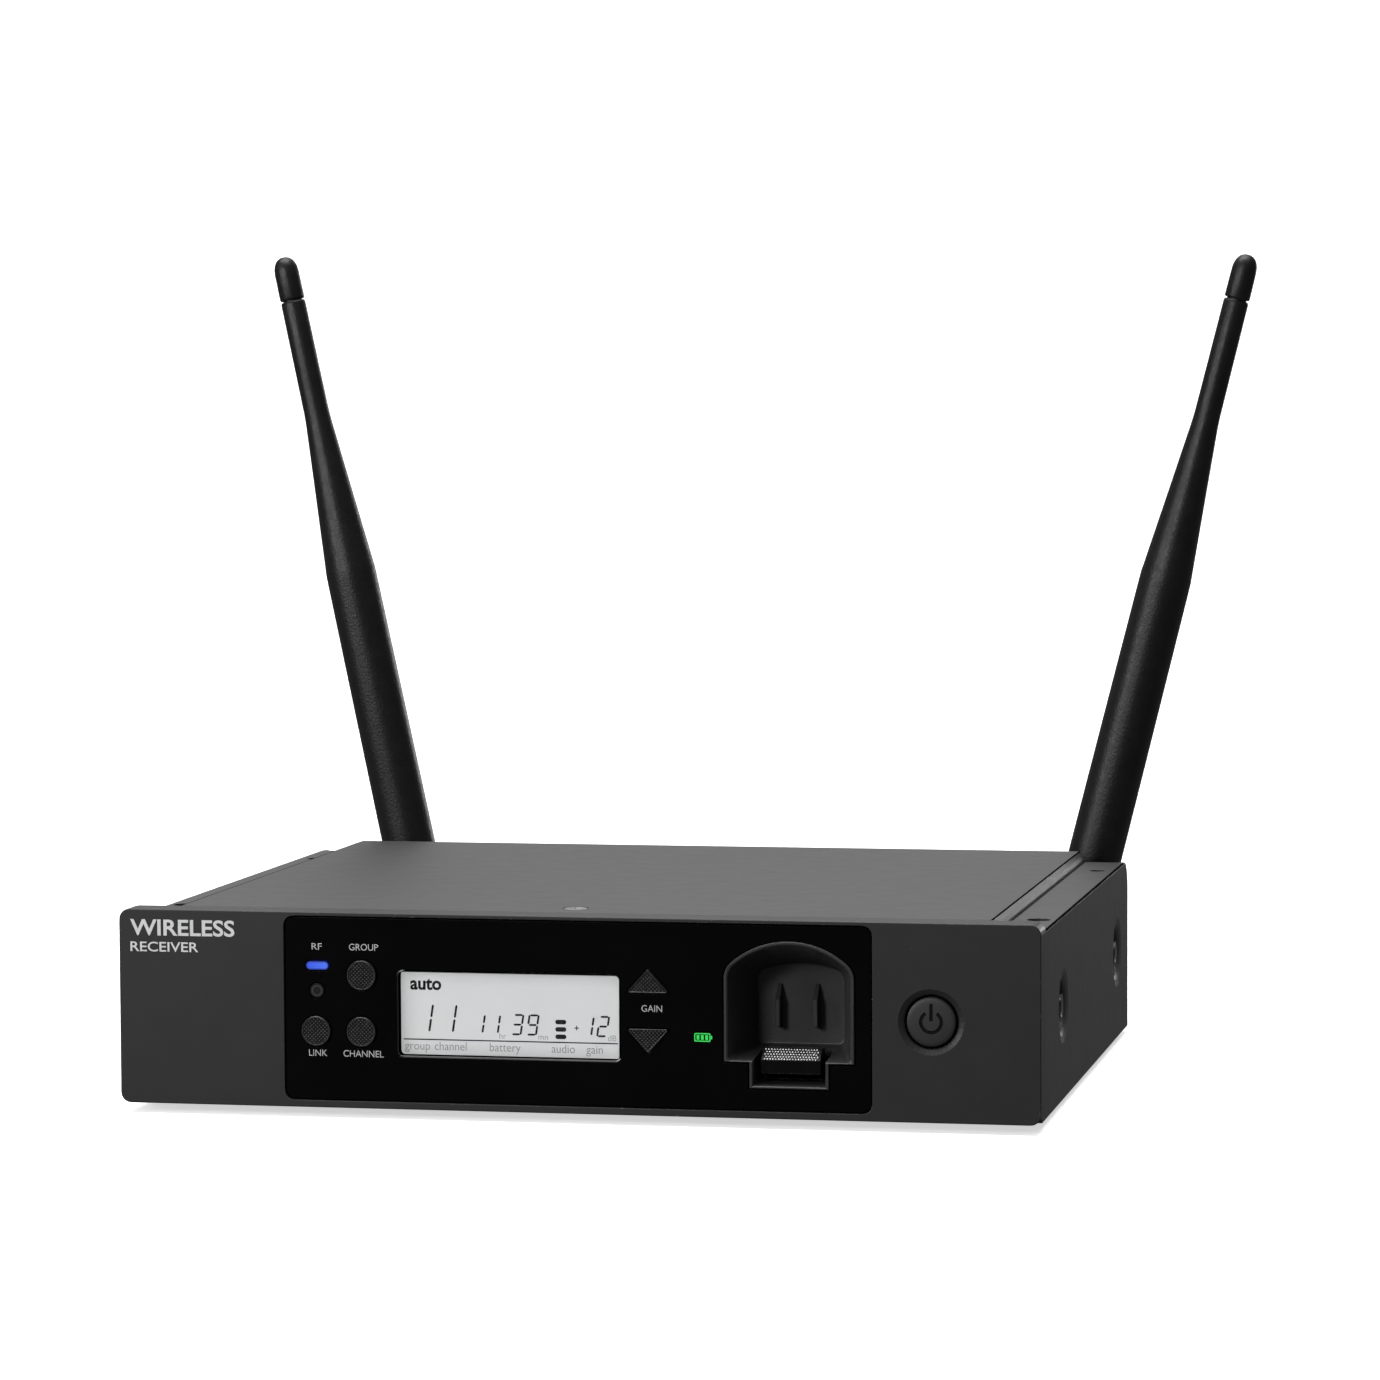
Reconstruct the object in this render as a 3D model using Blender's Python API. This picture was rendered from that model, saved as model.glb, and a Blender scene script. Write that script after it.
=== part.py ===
"""Half-rack receiver with a charging bay: every solid piece, in metres, +Z up.

The origin is the centre of the case's bottom face. +X is the right of the front face,
+Y runs from the front face to the rear panel, and +Z is up. Heights count from the
bottom of the base tray, so the four thin feet reach a little below zero.
"""
import math

import bmesh
import bpy
from mathutils import Vector

# ---------------------------------------------------------------- driving dimensions
FACE_WIDTH = 0.1970          # front bezel
FACE_HEIGHT = 0.0414
FACE_CORNER = 0.0022
FACE_LIFT = 0.0006           # the bezel's lower edge above the tray's bottom face
BEZEL_DEPTH = 0.0075
BEZEL_EDGE = 0.0002          # rounding of the bezel's front edge
CASE_DEPTH = 0.1630          # bezel face to the rear edge of the side plates
CASE_HALF = 0.0977           # outer face of a side plate
SHOULDER_Z = 0.0395          # top of the side plates' flanges
COVER_Z = 0.0420             # top of the raised cover
COVER_HALF = 0.0872          # where the cover's flat top ends
COVER_SKIRT_HALF = 0.0883    # outer face of the cover's folded skirt
COVER_SKIRT_Z = 0.0378       # lower edge of the skirt
COVER_LENGTH = 0.1550        # bezel face to the cover's rear edge
SHEET = 0.0012               # steel sheet
GAP = 0.0003                 # running gap between two touching pieces
CHEEK_CORNER = 0.0070        # rounded top rear corner of a side plate
FOOT_RADIUS = 0.0050
FOOT_HEIGHT = 0.0012

FRONT = -CASE_DEPTH / 2
REAR = CASE_DEPTH / 2
BEZEL_BACK = FRONT + BEZEL_DEPTH
CASE_FRONT = BEZEL_BACK + GAP
COVER_REAR = FRONT + COVER_LENGTH
FACE_MID_Z = FACE_LIFT + FACE_HEIGHT / 2
PANEL_OUT = FRONT + 0.1525   # rear face of the rear panel
PANEL_IN = PANEL_OUT - SHEET
PORT_Z = 0.0206              # height of every connector's axis
COVER_SCREW = (-0.0028, FRONT + 0.01645)

# ---------------------------------------------------------------- front face
FASCIA_X = 0.0006            # the glossy fascia sits a little right of centre
FASCIA_Z = 0.02165
FASCIA_HALF_WIDTH = 0.06255
FASCIA_HALF_HEIGHT = 0.01925
FASCIA_CORNER = 0.0018
FASCIA_FRONT = FRONT + 0.0003
FASCIA_BACK = FASCIA_FRONT + 0.0022

DISPLAY_X = -0.01375
DISPLAY_Z = 0.02085
DISPLAY_HALF_WIDTH = 0.02385
DISPLAY_HALF_HEIGHT = 0.00895
WINDOW_THICK = 0.0006        # clear sheet at the back of the display opening
DISPLAY_CORNER = 0.0010

ROUND_BUTTON_RADIUS = 0.00315
ROUND_BUTTONS = {            # name: (x, z)
    "group_button": (-0.04536, 0.02879),
    "link_button": (-0.05532, 0.01682),
    "channel_button": (-0.04549, 0.01685),
}
GAIN_BUTTON_X = 0.01623
GAIN_BUTTON_HALF_WIDTH = 0.0045
GAIN_BUTTON_HEIGHT = 0.0050
GAIN_BUTTON_CORNER = 0.0002
GAIN_BUTTONS = {             # name: (height of the triangle's base, direction of its tip)
    "gain_up_button": (0.0264, 1),
    "gain_down_button": (0.0188, -1),
}
BUTTON_PROUD = 0.0006        # how far a button stands out of the fascia
BUTTON_FLANGE = 0.0009       # width and depth of a button's hidden flange
BUTTON_TRAVEL = 0.0005

POWER_X = 0.0757
POWER_Z = 0.0215
POWER_RADIUS = 0.00515
POWER_DISH_RADIUS = 0.0069
POWER_DISH_DEPTH = 0.0008
POWER_FRONT = FRONT + 0.0002
POWER_TRAVEL = 0.0008

RF_LIGHT = (-0.0550, 0.0307, 0.00245, 0.00090)        # x, z, half width, half height
LINK_LIGHT = (-0.0551, 0.0254, 0.00150, 0.00150)
BATTERY_LIGHT = (0.0279, 0.0173, 0.00195, 0.00095)

# ---------------------------------------------------------------- charging bay
BAY_X = 0.04595
BAY_HALF = 0.0137
BAY_FLOOR = 0.0123
BAY_SHOULDER = 0.0316
BAY_TOP = 0.0376
BAY_CORNER = 0.0044          # rounding where a side wall meets the arch
BAY_RIM = 0.0007             # width of the bay's rim
BAY_BACK = FRONT + 0.0155    # the bay's back wall
BAY_OUTER_BACK = FRONT + 0.0185
BAY_BACK_HALF = 0.0093
BAY_BACK_FLOOR = 0.0141
BAY_BACK_SHOULDER = 0.0297
BAY_BACK_TOP = 0.0315
BAY_BACK_CORNER = 0.0026
NOTCH_HALF = 0.00835
NOTCH_FLOOR = 0.0069
NOTCH_BACK = FRONT + 0.0110
STEM_SLOT_HALF = 0.0066      # the slot behind the latch is nearly as wide as the notch
RIB_MIDDLE = 0.0454          # half-way between the two ribs
RIB_SPACING = 0.0080
RIB_WIDTH = 0.0010
RIB_DEPTH = 0.0035
RIB_LOW = 0.0184
RIB_HIGH = 0.0240            # where a rib's top starts to ramp back
RIB_RAMP = 0.0031
LATCH_HALF = 0.0063
LATCH_FRONT = FRONT + 0.0024
LATCH_LOW = 0.0098
LATCH_LIP = 0.0126
LATCH_TOP = 0.0148
LATCH_RUN = 0.0023           # how far back the thumb slope goes
LATCH_TRAVEL = 0.0021

# ---------------------------------------------------------------- antennas
ANTENNAS = {                 # name: (x of its connector, lean in degrees)
    "left": (-0.0761, -12.0),
    "right": (0.0841, 14.2),
}
ELBOW_Y = FRONT + 0.1720     # the whip's hinge
WHIP_LENGTH = 0.1665
WHIP_PROFILE = [             # (height above the hinge, radius)
    (0.0070, 0.0056),
    (0.0078, 0.0062),
    (0.0200, 0.0064),
    (0.0880, 0.0061),
    (0.0900, 0.0060),
    (0.1262, 0.00315),
    (0.1290, 0.00305),
    (0.1548, 0.00300),
    (0.1556, 0.00265),
]
TIP_PROFILE = [
    (0.1559, 0.00265),
    (0.1567, 0.00300),
    (0.1635, 0.00298),
    (0.1655, 0.00235),
    (0.1663, 0.00140),
    (0.1665, 0.00040),
]
COLLAR_RADIUS = 0.0053
EAR_IN = 0.0030              # a fork ear's inner and outer faces, from the whip's middle
EAR_OUT = 0.0060
EAR_RADIUS = 0.0056
TONGUE_HALF = 0.0026
PIN_RADIUS = 0.0012
PIN_CLEARANCE = 0.0003

# ---------------------------------------------------------------- rear panel ports
DC_X = -0.0500
TIE_X = -0.0390
USB_X = -0.0240
XLR_X = 0.0060
SWITCH_X = 0.0320
JACK_X = 0.0540
XLR_BARREL = 0.0110
XLR_BORE = 0.0084
JACK_BUSHING = 0.0047
JACK_BORE = 0.0033
DC_BUSHING = 0.0042
DC_BORE = 0.0029
SMA_RADIUS = 0.0032
SWITCH_TRAVEL = 0.0025

BOARD_LOW = 0.0070
BOARD_HIGH = 0.0086


# ---------------------------------------------------------------- making solids
def clear_scene():
    """Remove what a new file holds."""
    for obj in list(bpy.data.objects):
        bpy.data.objects.remove(obj)


def material(name, colour, roughness, metallic=0.0):
    """Make one Principled material."""
    mat = bpy.data.materials.new(name)
    mat.use_nodes = True
    shader = mat.node_tree.nodes["Principled BSDF"]
    shader.inputs["Base Color"].default_value = (*colour, 1.0)
    shader.inputs["Roughness"].default_value = roughness
    shader.inputs["Metallic"].default_value = metallic
    return mat


STEEL = ((0.19, 0.19, 0.20), 0.45, 0.0)
BLACK_GLOSS = ((0.01, 0.01, 0.012), 0.08, 0.0)
BLACK_MATTE = ((0.015, 0.015, 0.017), 0.55, 0.0)
BARE_METAL = ((0.72, 0.71, 0.68), 0.30, 1.0)
BRASS = ((0.78, 0.60, 0.28), 0.28, 1.0)
BOARD_GREEN = ((0.02, 0.13, 0.06), 0.45, 0.0)
RUBBER = ((0.02, 0.02, 0.02), 0.85, 0.0)


def box_rings(low, high):
    """Give the two rings of a box between two opposite corners."""
    corners = [(low[0], low[1]), (high[0], low[1]), (high[0], high[1]), (low[0], high[1])]
    return [[Vector((x, y, z)) for x, y in corners] for z in (low[2], high[2])]


def prism_rings(outline, start, end, axis="y"):
    """Extrude a flat outline along an axis; the outline's points are the other two axes."""
    place = {
        "x": lambda a, b, t: Vector((t, a, b)),
        "y": lambda a, b, t: Vector((a, t, b)),
        "z": lambda a, b, t: Vector((a, b, t)),
    }[axis]
    return [[place(a, b, t) for a, b in outline] for t in (start, end)]


def circle(radius, centre=(0.0, 0.0), sides=24):
    """Give the points of a circle."""
    angles = [math.tau * k / sides for k in range(sides)]
    return [(centre[0] + radius * math.cos(a), centre[1] + radius * math.sin(a)) for a in angles]


def turned_rings(profile, axis="y", centre=(0.0, 0.0), sides=24):
    """Turn a profile of (place along the axis, radius) pairs about the axis."""
    rings = []
    for along, radius in profile:
        rings.append(prism_rings(circle(radius, centre, sides), along, along, axis)[0])
    return rings


def rounded_box(half_width, half_height, radius, centre=(0.0, 0.0), steps=5):
    """Give the outline of a rectangle with rounded corners."""
    points = []
    corners = [(1, 1, 0.0), (-1, 1, 90.0), (-1, -1, 180.0), (1, -1, 270.0)]
    for side, up, start in corners:
        cx = centre[0] + side * (half_width - radius)
        cz = centre[1] + up * (half_height - radius)
        for k in range(steps + 1):
            angle = math.radians(start + 90.0 * k / steps)
            points.append((cx + radius * math.cos(angle), cz + radius * math.sin(angle)))
    return points


def add_rings(bm, rings, loop=False):
    """Skin a run of rings into a closed body: capped at both ends, or joined in a loop."""
    rows = [[bm.verts.new(point) for point in ring] for ring in rings]
    pairs = list(zip(rows, rows[1:]))
    if loop:
        pairs.append((rows[-1], rows[0]))
    for low, high in pairs:
        for k in range(len(low)):
            nxt = (k + 1) % len(low)
            bm.faces.new((low[k], low[nxt], high[nxt], high[k]))
    if not loop:
        bm.faces.new(rows[0])
        bm.faces.new(rows[-1])


def solid(name, shapes, look, loop=False, smooth=False, origin=(0.0, 0.0, 0.0)):
    """Make one object out of one or more runs of rings, given about its origin."""
    bm = bmesh.new()
    for rings in shapes:
        add_rings(bm, rings, loop)
    bmesh.ops.recalc_face_normals(bm, faces=bm.faces[:])
    mesh = bpy.data.meshes.new(name)
    bm.to_mesh(mesh)
    bm.free()
    if smooth:
        mesh.shade_smooth()
        mesh.set_sharp_from_angle(angle=math.radians(35))
    obj = bpy.data.objects.new(name, mesh)
    bpy.context.collection.objects.link(obj)
    obj.location = origin
    if look is not None:
        mesh.materials.append(material(name, *look))
    return obj


def shape_with(target, shapes, operation="DIFFERENCE", loop=False):
    """Cut shapes out of an object, or join them to it. They share the object's own frame."""
    tool = solid(f"{target.name}_tool", shapes, None, loop)
    tool.parent = target
    tool.hide_render = True
    tool.display_type = "WIRE"
    change = target.modifiers.new(operation.title(), "BOOLEAN")
    change.operation = operation
    change.object = tool
    return target


# ---------------------------------------------------------------- case
def make_base_tray():
    """Bottom sheet with four pressed standoffs for the main board."""
    half = CASE_HALF - SHEET - GAP
    tray = solid("base_tray", [box_rings((-half, CASE_FRONT, 0), (half, COVER_REAR, SHEET))], STEEL)
    posts = []
    for x in (-0.080, 0.080):
        for y in (-0.045, 0.055):
            posts.append(turned_rings([(0.0006, 0.0028), (BOARD_LOW - GAP, 0.0022)], "z", (x, y), 12))
    shape_with(tray, posts, "UNION")


def make_side_plate(name, side):
    """Side sheet with an inward top flange, two dished screw bosses and a round rear corner."""
    bend = 0.0005
    flange_in = COVER_SKIRT_HALF + GAP
    inner = CASE_HALF - SHEET
    section = [
        (flange_in, SHOULDER_Z - SHEET),
        (inner, SHOULDER_Z - SHEET),
        (inner, 0.0),
        (CASE_HALF, 0.0),
    ]
    for k in range(4):
        angle = math.radians(30 * k)
        section.append((CASE_HALF - bend + bend * math.cos(angle),
                        SHOULDER_Z - bend + bend * math.sin(angle)))
    section.append((flange_in, SHOULDER_Z))
    section = [(side * x, z) for x, z in section]
    plate = solid(name, [prism_rings(section, CASE_FRONT, REAR)], STEEL)

    reach = 0.002
    low, high = sorted((side * (flange_in - reach), side * inner))
    cut_flange = box_rings((low, COVER_REAR, SHOULDER_Z - 3 * SHEET),
                           (high, REAR + reach, SHOULDER_Z + reach))
    shape_with(plate, [cut_flange])

    corner = [(REAR + reach, SHOULDER_Z + reach)]
    corner.append((REAR - CHEEK_CORNER, SHOULDER_Z + reach))
    for k in range(7):
        angle = math.radians(90 - 15 * k)
        corner.append((REAR - CHEEK_CORNER + CHEEK_CORNER * math.cos(angle),
                       SHOULDER_Z - CHEEK_CORNER + CHEEK_CORNER * math.sin(angle)))
    corner.append((REAR + reach, SHOULDER_Z - CHEEK_CORNER))
    low, high = sorted((side * (inner - reach), side * (CASE_HALF + reach)))
    shape_with(plate, [prism_rings(corner, low, high, "x")])

    dimples = [(FRONT + 0.0426, 0.0200), (FRONT + 0.1413, 0.0200)]
    bosses = []
    dishes = []
    holes = []
    for y, z in dimples:
        boss = [(side * (inner - 0.0030), 0.0088), (side * (CASE_HALF - 0.0004), 0.0088)]
        bosses.append(turned_rings(boss, "x", (y, z)))
        dish = [(side * (CASE_HALF - 0.0026), 0.0050), (side * (CASE_HALF - 0.0007), 0.0057),
                (side * (CASE_HALF - 0.0003), 0.0066), (side * (CASE_HALF + 0.0001), 0.0086)]
        dishes.append(turned_rings(dish, "x", (y, z)))
        hole = [(side * (inner - 0.005), 0.0025), (side * CASE_HALF, 0.0025)]
        holes.append(turned_rings(hole, "x", (y, z)))
    shape_with(plate, bosses, "UNION")
    shape_with(plate, dishes)
    shape_with(plate, holes)

    screw_x = side * 0.0938
    slots = []
    for y, radius in ((FRONT + 0.0320, 0.0026), (FRONT + 0.1353, 0.0018)):
        slots.append(turned_rings([(SHOULDER_Z - 0.003, radius), (SHOULDER_Z + 0.001, radius)],
                                  "z", (screw_x, y), 16))
    shape_with(plate, slots)


def cover_section(inset):
    """Half outline of the cover's folded edge, from the skirt up to the flat top."""
    return [
        (COVER_SKIRT_HALF - inset, COVER_SKIRT_Z),
        (COVER_SKIRT_HALF - inset, 0.0401 - 0.4 * inset),
        (COVER_SKIRT_HALF - 0.0003 - inset, 0.0410 - 0.7 * inset),
        (COVER_HALF - 0.5 * inset, COVER_Z - inset),
    ]


def make_top_cover():
    """Raised top sheet whose long sides fold down inside the flanges."""
    outer = cover_section(0.0)
    inner = cover_section(SHEET)
    section = [(-x, z) for x, z in outer] + outer[::-1]
    section += inner + [(-x, z) for x, z in inner[::-1]]
    cover = solid("top_cover", [prism_rings(section, CASE_FRONT, COVER_REAR)], STEEL)
    sink = turned_rings([(COVER_Z - 0.0040, 0.0016), (COVER_Z - 0.0014, 0.0016),
                         (COVER_Z - 0.0002, 0.0028), (COVER_Z + 0.0010, 0.0028)], "z", COVER_SCREW)
    shape_with(cover, [sink])


def make_cover_screw():
    """Countersunk screw near the front of the cover."""
    profile = [
        (COVER_Z - 0.0060, 0.0011),
        (COVER_Z - 0.0015, 0.0012),
        (COVER_Z - 0.0003, 0.0024),
        (COVER_Z, 0.00245),
    ]
    solid("cover_screw", [turned_rings(profile, "z", COVER_SCREW)], BARE_METAL, smooth=True)


def port_shapes(cutters):
    """Extrude outlines through the rear panel."""
    reach = 0.001
    return [prism_rings(outline, PANEL_IN - reach, PANEL_OUT + reach) for outline in cutters]


def make_rear_panel():
    """Rear sheet, stepped under the shoulders, with an opening for each port."""
    side = CASE_HALF - SHEET - GAP
    mid = COVER_SKIRT_HALF - SHEET - 2 * GAP
    low = SHEET + GAP
    shoulder = COVER_SKIRT_Z - GAP
    top = COVER_Z - SHEET - GAP
    outline = [(-side, low), (side, low), (side, shoulder), (mid, shoulder), (mid, top),
               (-mid, top), (-mid, shoulder), (-side, shoulder)]
    panel = solid("rear_panel", [prism_rings(outline, PANEL_IN, PANEL_OUT)], STEEL)
    ports = [
        circle(XLR_BARREL + GAP, (XLR_X, PORT_Z)),
        circle(JACK_BUSHING + GAP, (JACK_X, PORT_Z)),
        circle(DC_BUSHING + GAP, (DC_X, PORT_Z)),
        rounded_box(0.0042, 0.0018, 0.0006, (USB_X, PORT_Z), 2),
        rounded_box(0.0046, 0.0022, 0.0005, (SWITCH_X, PORT_Z), 2),
    ]
    for x, _ in ANTENNAS.values():
        ports.append(circle(SMA_RADIUS + GAP, (x, PORT_Z), 16))
    shape_with(panel, port_shapes(ports))


def make_feet():
    """Four thin rubber feet under the tray."""
    places = {"front_left": (-0.084, -0.062), "front_right": (0.084, -0.062),
              "rear_left": (-0.084, 0.060), "rear_right": (0.084, 0.060)}
    for name, (x, y) in places.items():
        profile = [(-GAP, FOOT_RADIUS), (-GAP - 0.0009, FOOT_RADIUS),
                   (-GAP - FOOT_HEIGHT, FOOT_RADIUS - 0.0004)]
        solid(f"foot_{name}", [turned_rings(profile, "z", (x, y), 20)], RUBBER, smooth=True)


# ---------------------------------------------------------------- front
def face_outline(inset):
    """Outline of the bezel, drawn in by an inset."""
    return rounded_box(FACE_WIDTH / 2 - inset, FACE_HEIGHT / 2 - inset, FACE_CORNER - inset, (0, FACE_MID_Z))


def make_bezel():
    """Front frame: a window for the fascia and a dished hole for the power button."""
    rings = [
        prism_rings(face_outline(BEZEL_EDGE), FRONT, FRONT)[0],
        prism_rings(face_outline(BEZEL_EDGE * 0.29), FRONT + BEZEL_EDGE * 0.29, FRONT)[0],
        prism_rings(face_outline(0.0), FRONT + BEZEL_EDGE, FRONT)[0],
        prism_rings(face_outline(0.0), BEZEL_BACK, FRONT)[0],
    ]
    bezel = solid("front_bezel", [rings], STEEL)
    reach = 0.001
    window = rounded_box(FASCIA_HALF_WIDTH + GAP, FASCIA_HALF_HEIGHT + GAP, FASCIA_CORNER + GAP,
                         (FASCIA_X, FASCIA_Z))
    shape_with(bezel, [prism_rings(window, FRONT - reach, BEZEL_BACK + reach)])
    button = (POWER_X, POWER_Z)
    dish = [
        (FRONT - reach, POWER_DISH_RADIUS),
        (FRONT, POWER_DISH_RADIUS),
        (FRONT + POWER_DISH_DEPTH * 0.6, POWER_RADIUS + 0.0009),
        (FRONT + POWER_DISH_DEPTH, POWER_RADIUS + 0.0005),
        (BEZEL_BACK + reach, POWER_RADIUS + 0.0005),
    ]
    shape_with(bezel, [turned_rings(dish, "y", button, 32)])


def gain_outline(base, tip, grow=0.0):
    """Triangle with rounded corners: the height of its base, and its tip up (1) or down (-1)."""
    half = GAIN_BUTTON_HALF_WIDTH
    corners = [Vector((-half, 0.0)), Vector((half, 0.0)), Vector((0.0, GAIN_BUTTON_HEIGHT))]
    points = []
    for k, here in enumerate(corners):
        before = (corners[k - 1] - here).normalized()
        after = (corners[(k + 1) % 3] - here).normalized()
        inwards = (before + after).normalized()
        half_angle = before.angle(inwards)
        centre = here + inwards * (GAIN_BUTTON_CORNER / math.sin(half_angle))
        outward = math.atan2(-inwards.y, -inwards.x)
        sweep = math.pi - 2 * half_angle
        for step in range(4):
            angle = outward - sweep / 2 + sweep * step / 3
            points.append(centre + Vector((math.cos(angle), math.sin(angle))) * (GAIN_BUTTON_CORNER + grow))
    return [(GAIN_BUTTON_X + p.x, base + tip * p.y) for p in points]


def bay_outline(grow=0.0):
    """Arched bay opening with its notch for the latch."""
    half = BAY_HALF + grow
    floor = BAY_FLOOR - grow
    notch = NOTCH_HALF + grow
    points = [
        (BAY_X - notch, floor),
        (BAY_X - notch, NOTCH_FLOOR - grow),
        (BAY_X + notch, NOTCH_FLOOR - grow),
        (BAY_X + notch, floor),
        (BAY_X + half, floor),
    ]
    points += arch(half, BAY_SHOULDER, BAY_TOP + grow, BAY_CORNER)
    points.append((BAY_X - half, floor))
    return points


def arch(half, shoulder, top, corner):
    """Arc over the bay with rounded shoulders, from its right wall to its left wall."""
    rise = top - shoulder
    radius = (half * half + rise * rise) / (2 * rise)
    middle = top - radius
    lift = math.sqrt((radius - corner) ** 2 - (half - corner) ** 2)
    sweep = math.atan2(half - corner, lift)
    right = []
    for k in range(5):
        angle = math.radians(90) + (sweep - math.radians(90)) * k / 4
        right.append((half - corner + corner * math.sin(angle), middle + lift + corner * math.cos(angle)))
    crown = []
    for k in range(1, 8):
        angle = sweep - 2 * sweep * k / 8
        crown.append((radius * math.sin(angle), middle + radius * math.cos(angle)))
    left = [(-x, z) for x, z in right[::-1]]
    return [(BAY_X + x, z) for x, z in right + crown + left]


def light_outline(light, grow=0.0):
    """Pill or round outline of an indicator light."""
    x, z, half_width, half_height = light
    radius = min(half_width, half_height)
    return rounded_box(half_width + grow, half_height + grow, radius * 0.98 + grow, (x, z), 4)


def make_fascia():
    """Glossy panel with openings for the display, buttons, lights and bay."""
    outline = rounded_box(FASCIA_HALF_WIDTH, FASCIA_HALF_HEIGHT, FASCIA_CORNER, (FASCIA_X, FASCIA_Z))
    fascia = solid("front_fascia", [prism_rings(outline, FASCIA_FRONT, FASCIA_BACK)], BLACK_GLOSS)
    openings = [
        rounded_box(DISPLAY_HALF_WIDTH + GAP, DISPLAY_HALF_HEIGHT + GAP, DISPLAY_CORNER + GAP,
                    (DISPLAY_X, DISPLAY_Z), 3),
        bay_outline(GAP),
        light_outline(RF_LIGHT, GAP),
        light_outline(LINK_LIGHT, GAP),
        light_outline(BATTERY_LIGHT, GAP),
    ]
    for centre in ROUND_BUTTONS.values():
        openings.append(circle(ROUND_BUTTON_RADIUS + GAP, centre))
    for base, tip in GAIN_BUTTONS.values():
        openings.append(gain_outline(base, tip, GAP))
    reach = 0.001
    shape_with(fascia, [prism_rings(one, FASCIA_FRONT - reach, FASCIA_BACK + reach) for one in openings])


def make_display():
    """Clear window, display glass and backlight, one behind the other."""
    window = rounded_box(DISPLAY_HALF_WIDTH, DISPLAY_HALF_HEIGHT, DISPLAY_CORNER, (DISPLAY_X, DISPLAY_Z), 3)
    glass = ((0.75, 0.78, 0.80), 0.05, 0.0)
    solid("display_window", [prism_rings(window, FASCIA_BACK - WINDOW_THICK, FASCIA_BACK)], glass)
    low = (DISPLAY_X - 0.0245, FASCIA_BACK + GAP, DISPLAY_Z - 0.0112)
    high = (DISPLAY_X + 0.0245, FASCIA_BACK + 0.0018, DISPLAY_Z + 0.0112)
    solid("lcd_panel", [box_rings(low, high)], ((0.55, 0.60, 0.62), 0.25, 0.0))
    low = (low[0], FASCIA_BACK + 0.0021, low[2])
    high = (high[0], FASCIA_BACK + 0.0031, high[2])
    solid("lcd_backlight", [box_rings(low, high)], ((0.85, 0.86, 0.88), 0.4, 0.0))


def make_lights():
    """Lenses of the three indicator lights."""
    lenses = {
        "rf_light_lens": (RF_LIGHT, (0.05, 0.15, 0.95)),
        "link_light_lens": (LINK_LIGHT, (0.10, 0.10, 0.11)),
        "battery_light_lens": (BATTERY_LIGHT, (0.05, 0.75, 0.15)),
    }
    for name, (light, colour) in lenses.items():
        outline = light_outline(light)
        solid(name, [prism_rings(outline, FASCIA_FRONT - 0.0001, FASCIA_BACK)], (colour, 0.2, 0.0))


def flanged_button(name, outline_at, origin, look):
    """Button cap with a hidden flange that stops it behind the fascia."""
    edge = 0.0002
    front = FASCIA_FRONT - BUTTON_PROUD
    flange = FASCIA_BACK + GAP
    steps = [
        (front, -edge),
        (front + edge, 0.0),
        (flange, 0.0),
        (flange, BUTTON_FLANGE),
        (flange + BUTTON_FLANGE, BUTTON_FLANGE),
    ]
    rings = []
    for y, grow in steps:
        rings.append([Vector((x, y, z)) - Vector(origin) for x, z in outline_at(grow)])
    solid(name, [rings], look, origin=origin)


def make_buttons():
    """Round and triangular fascia buttons; each slides along Y."""
    for name, (x, z) in ROUND_BUTTONS.items():
        flanged_button(name, lambda grow, c=(x, z): circle(ROUND_BUTTON_RADIUS + grow, c),
                       (x, FASCIA_FRONT, z), BLACK_MATTE)
    for name, (base, tip) in GAIN_BUTTONS.items():
        middle = base + tip * GAIN_BUTTON_HEIGHT / 3
        flanged_button(name, lambda grow, b=base, t=tip: gain_outline(b, t, grow),
                       (GAIN_BUTTON_X, FASCIA_FRONT, middle), BLACK_MATTE)


def make_power_button():
    """Round power button in the dished hole; it slides along Y."""
    profile = [
        (POWER_FRONT, POWER_RADIUS - 0.0003),
        (POWER_FRONT + 0.0003, POWER_RADIUS),
        (BEZEL_BACK + GAP, POWER_RADIUS),
        (BEZEL_BACK + GAP, POWER_RADIUS + 0.0014),
        (BEZEL_BACK + 0.0014, POWER_RADIUS + 0.0014),
    ]
    profile = [(y - POWER_FRONT, radius) for y, radius in profile]
    solid("power_button", [turned_rings(profile, "y", (0, 0), 32)], BLACK_MATTE, smooth=True,
          origin=(POWER_X, POWER_FRONT, POWER_Z))


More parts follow.
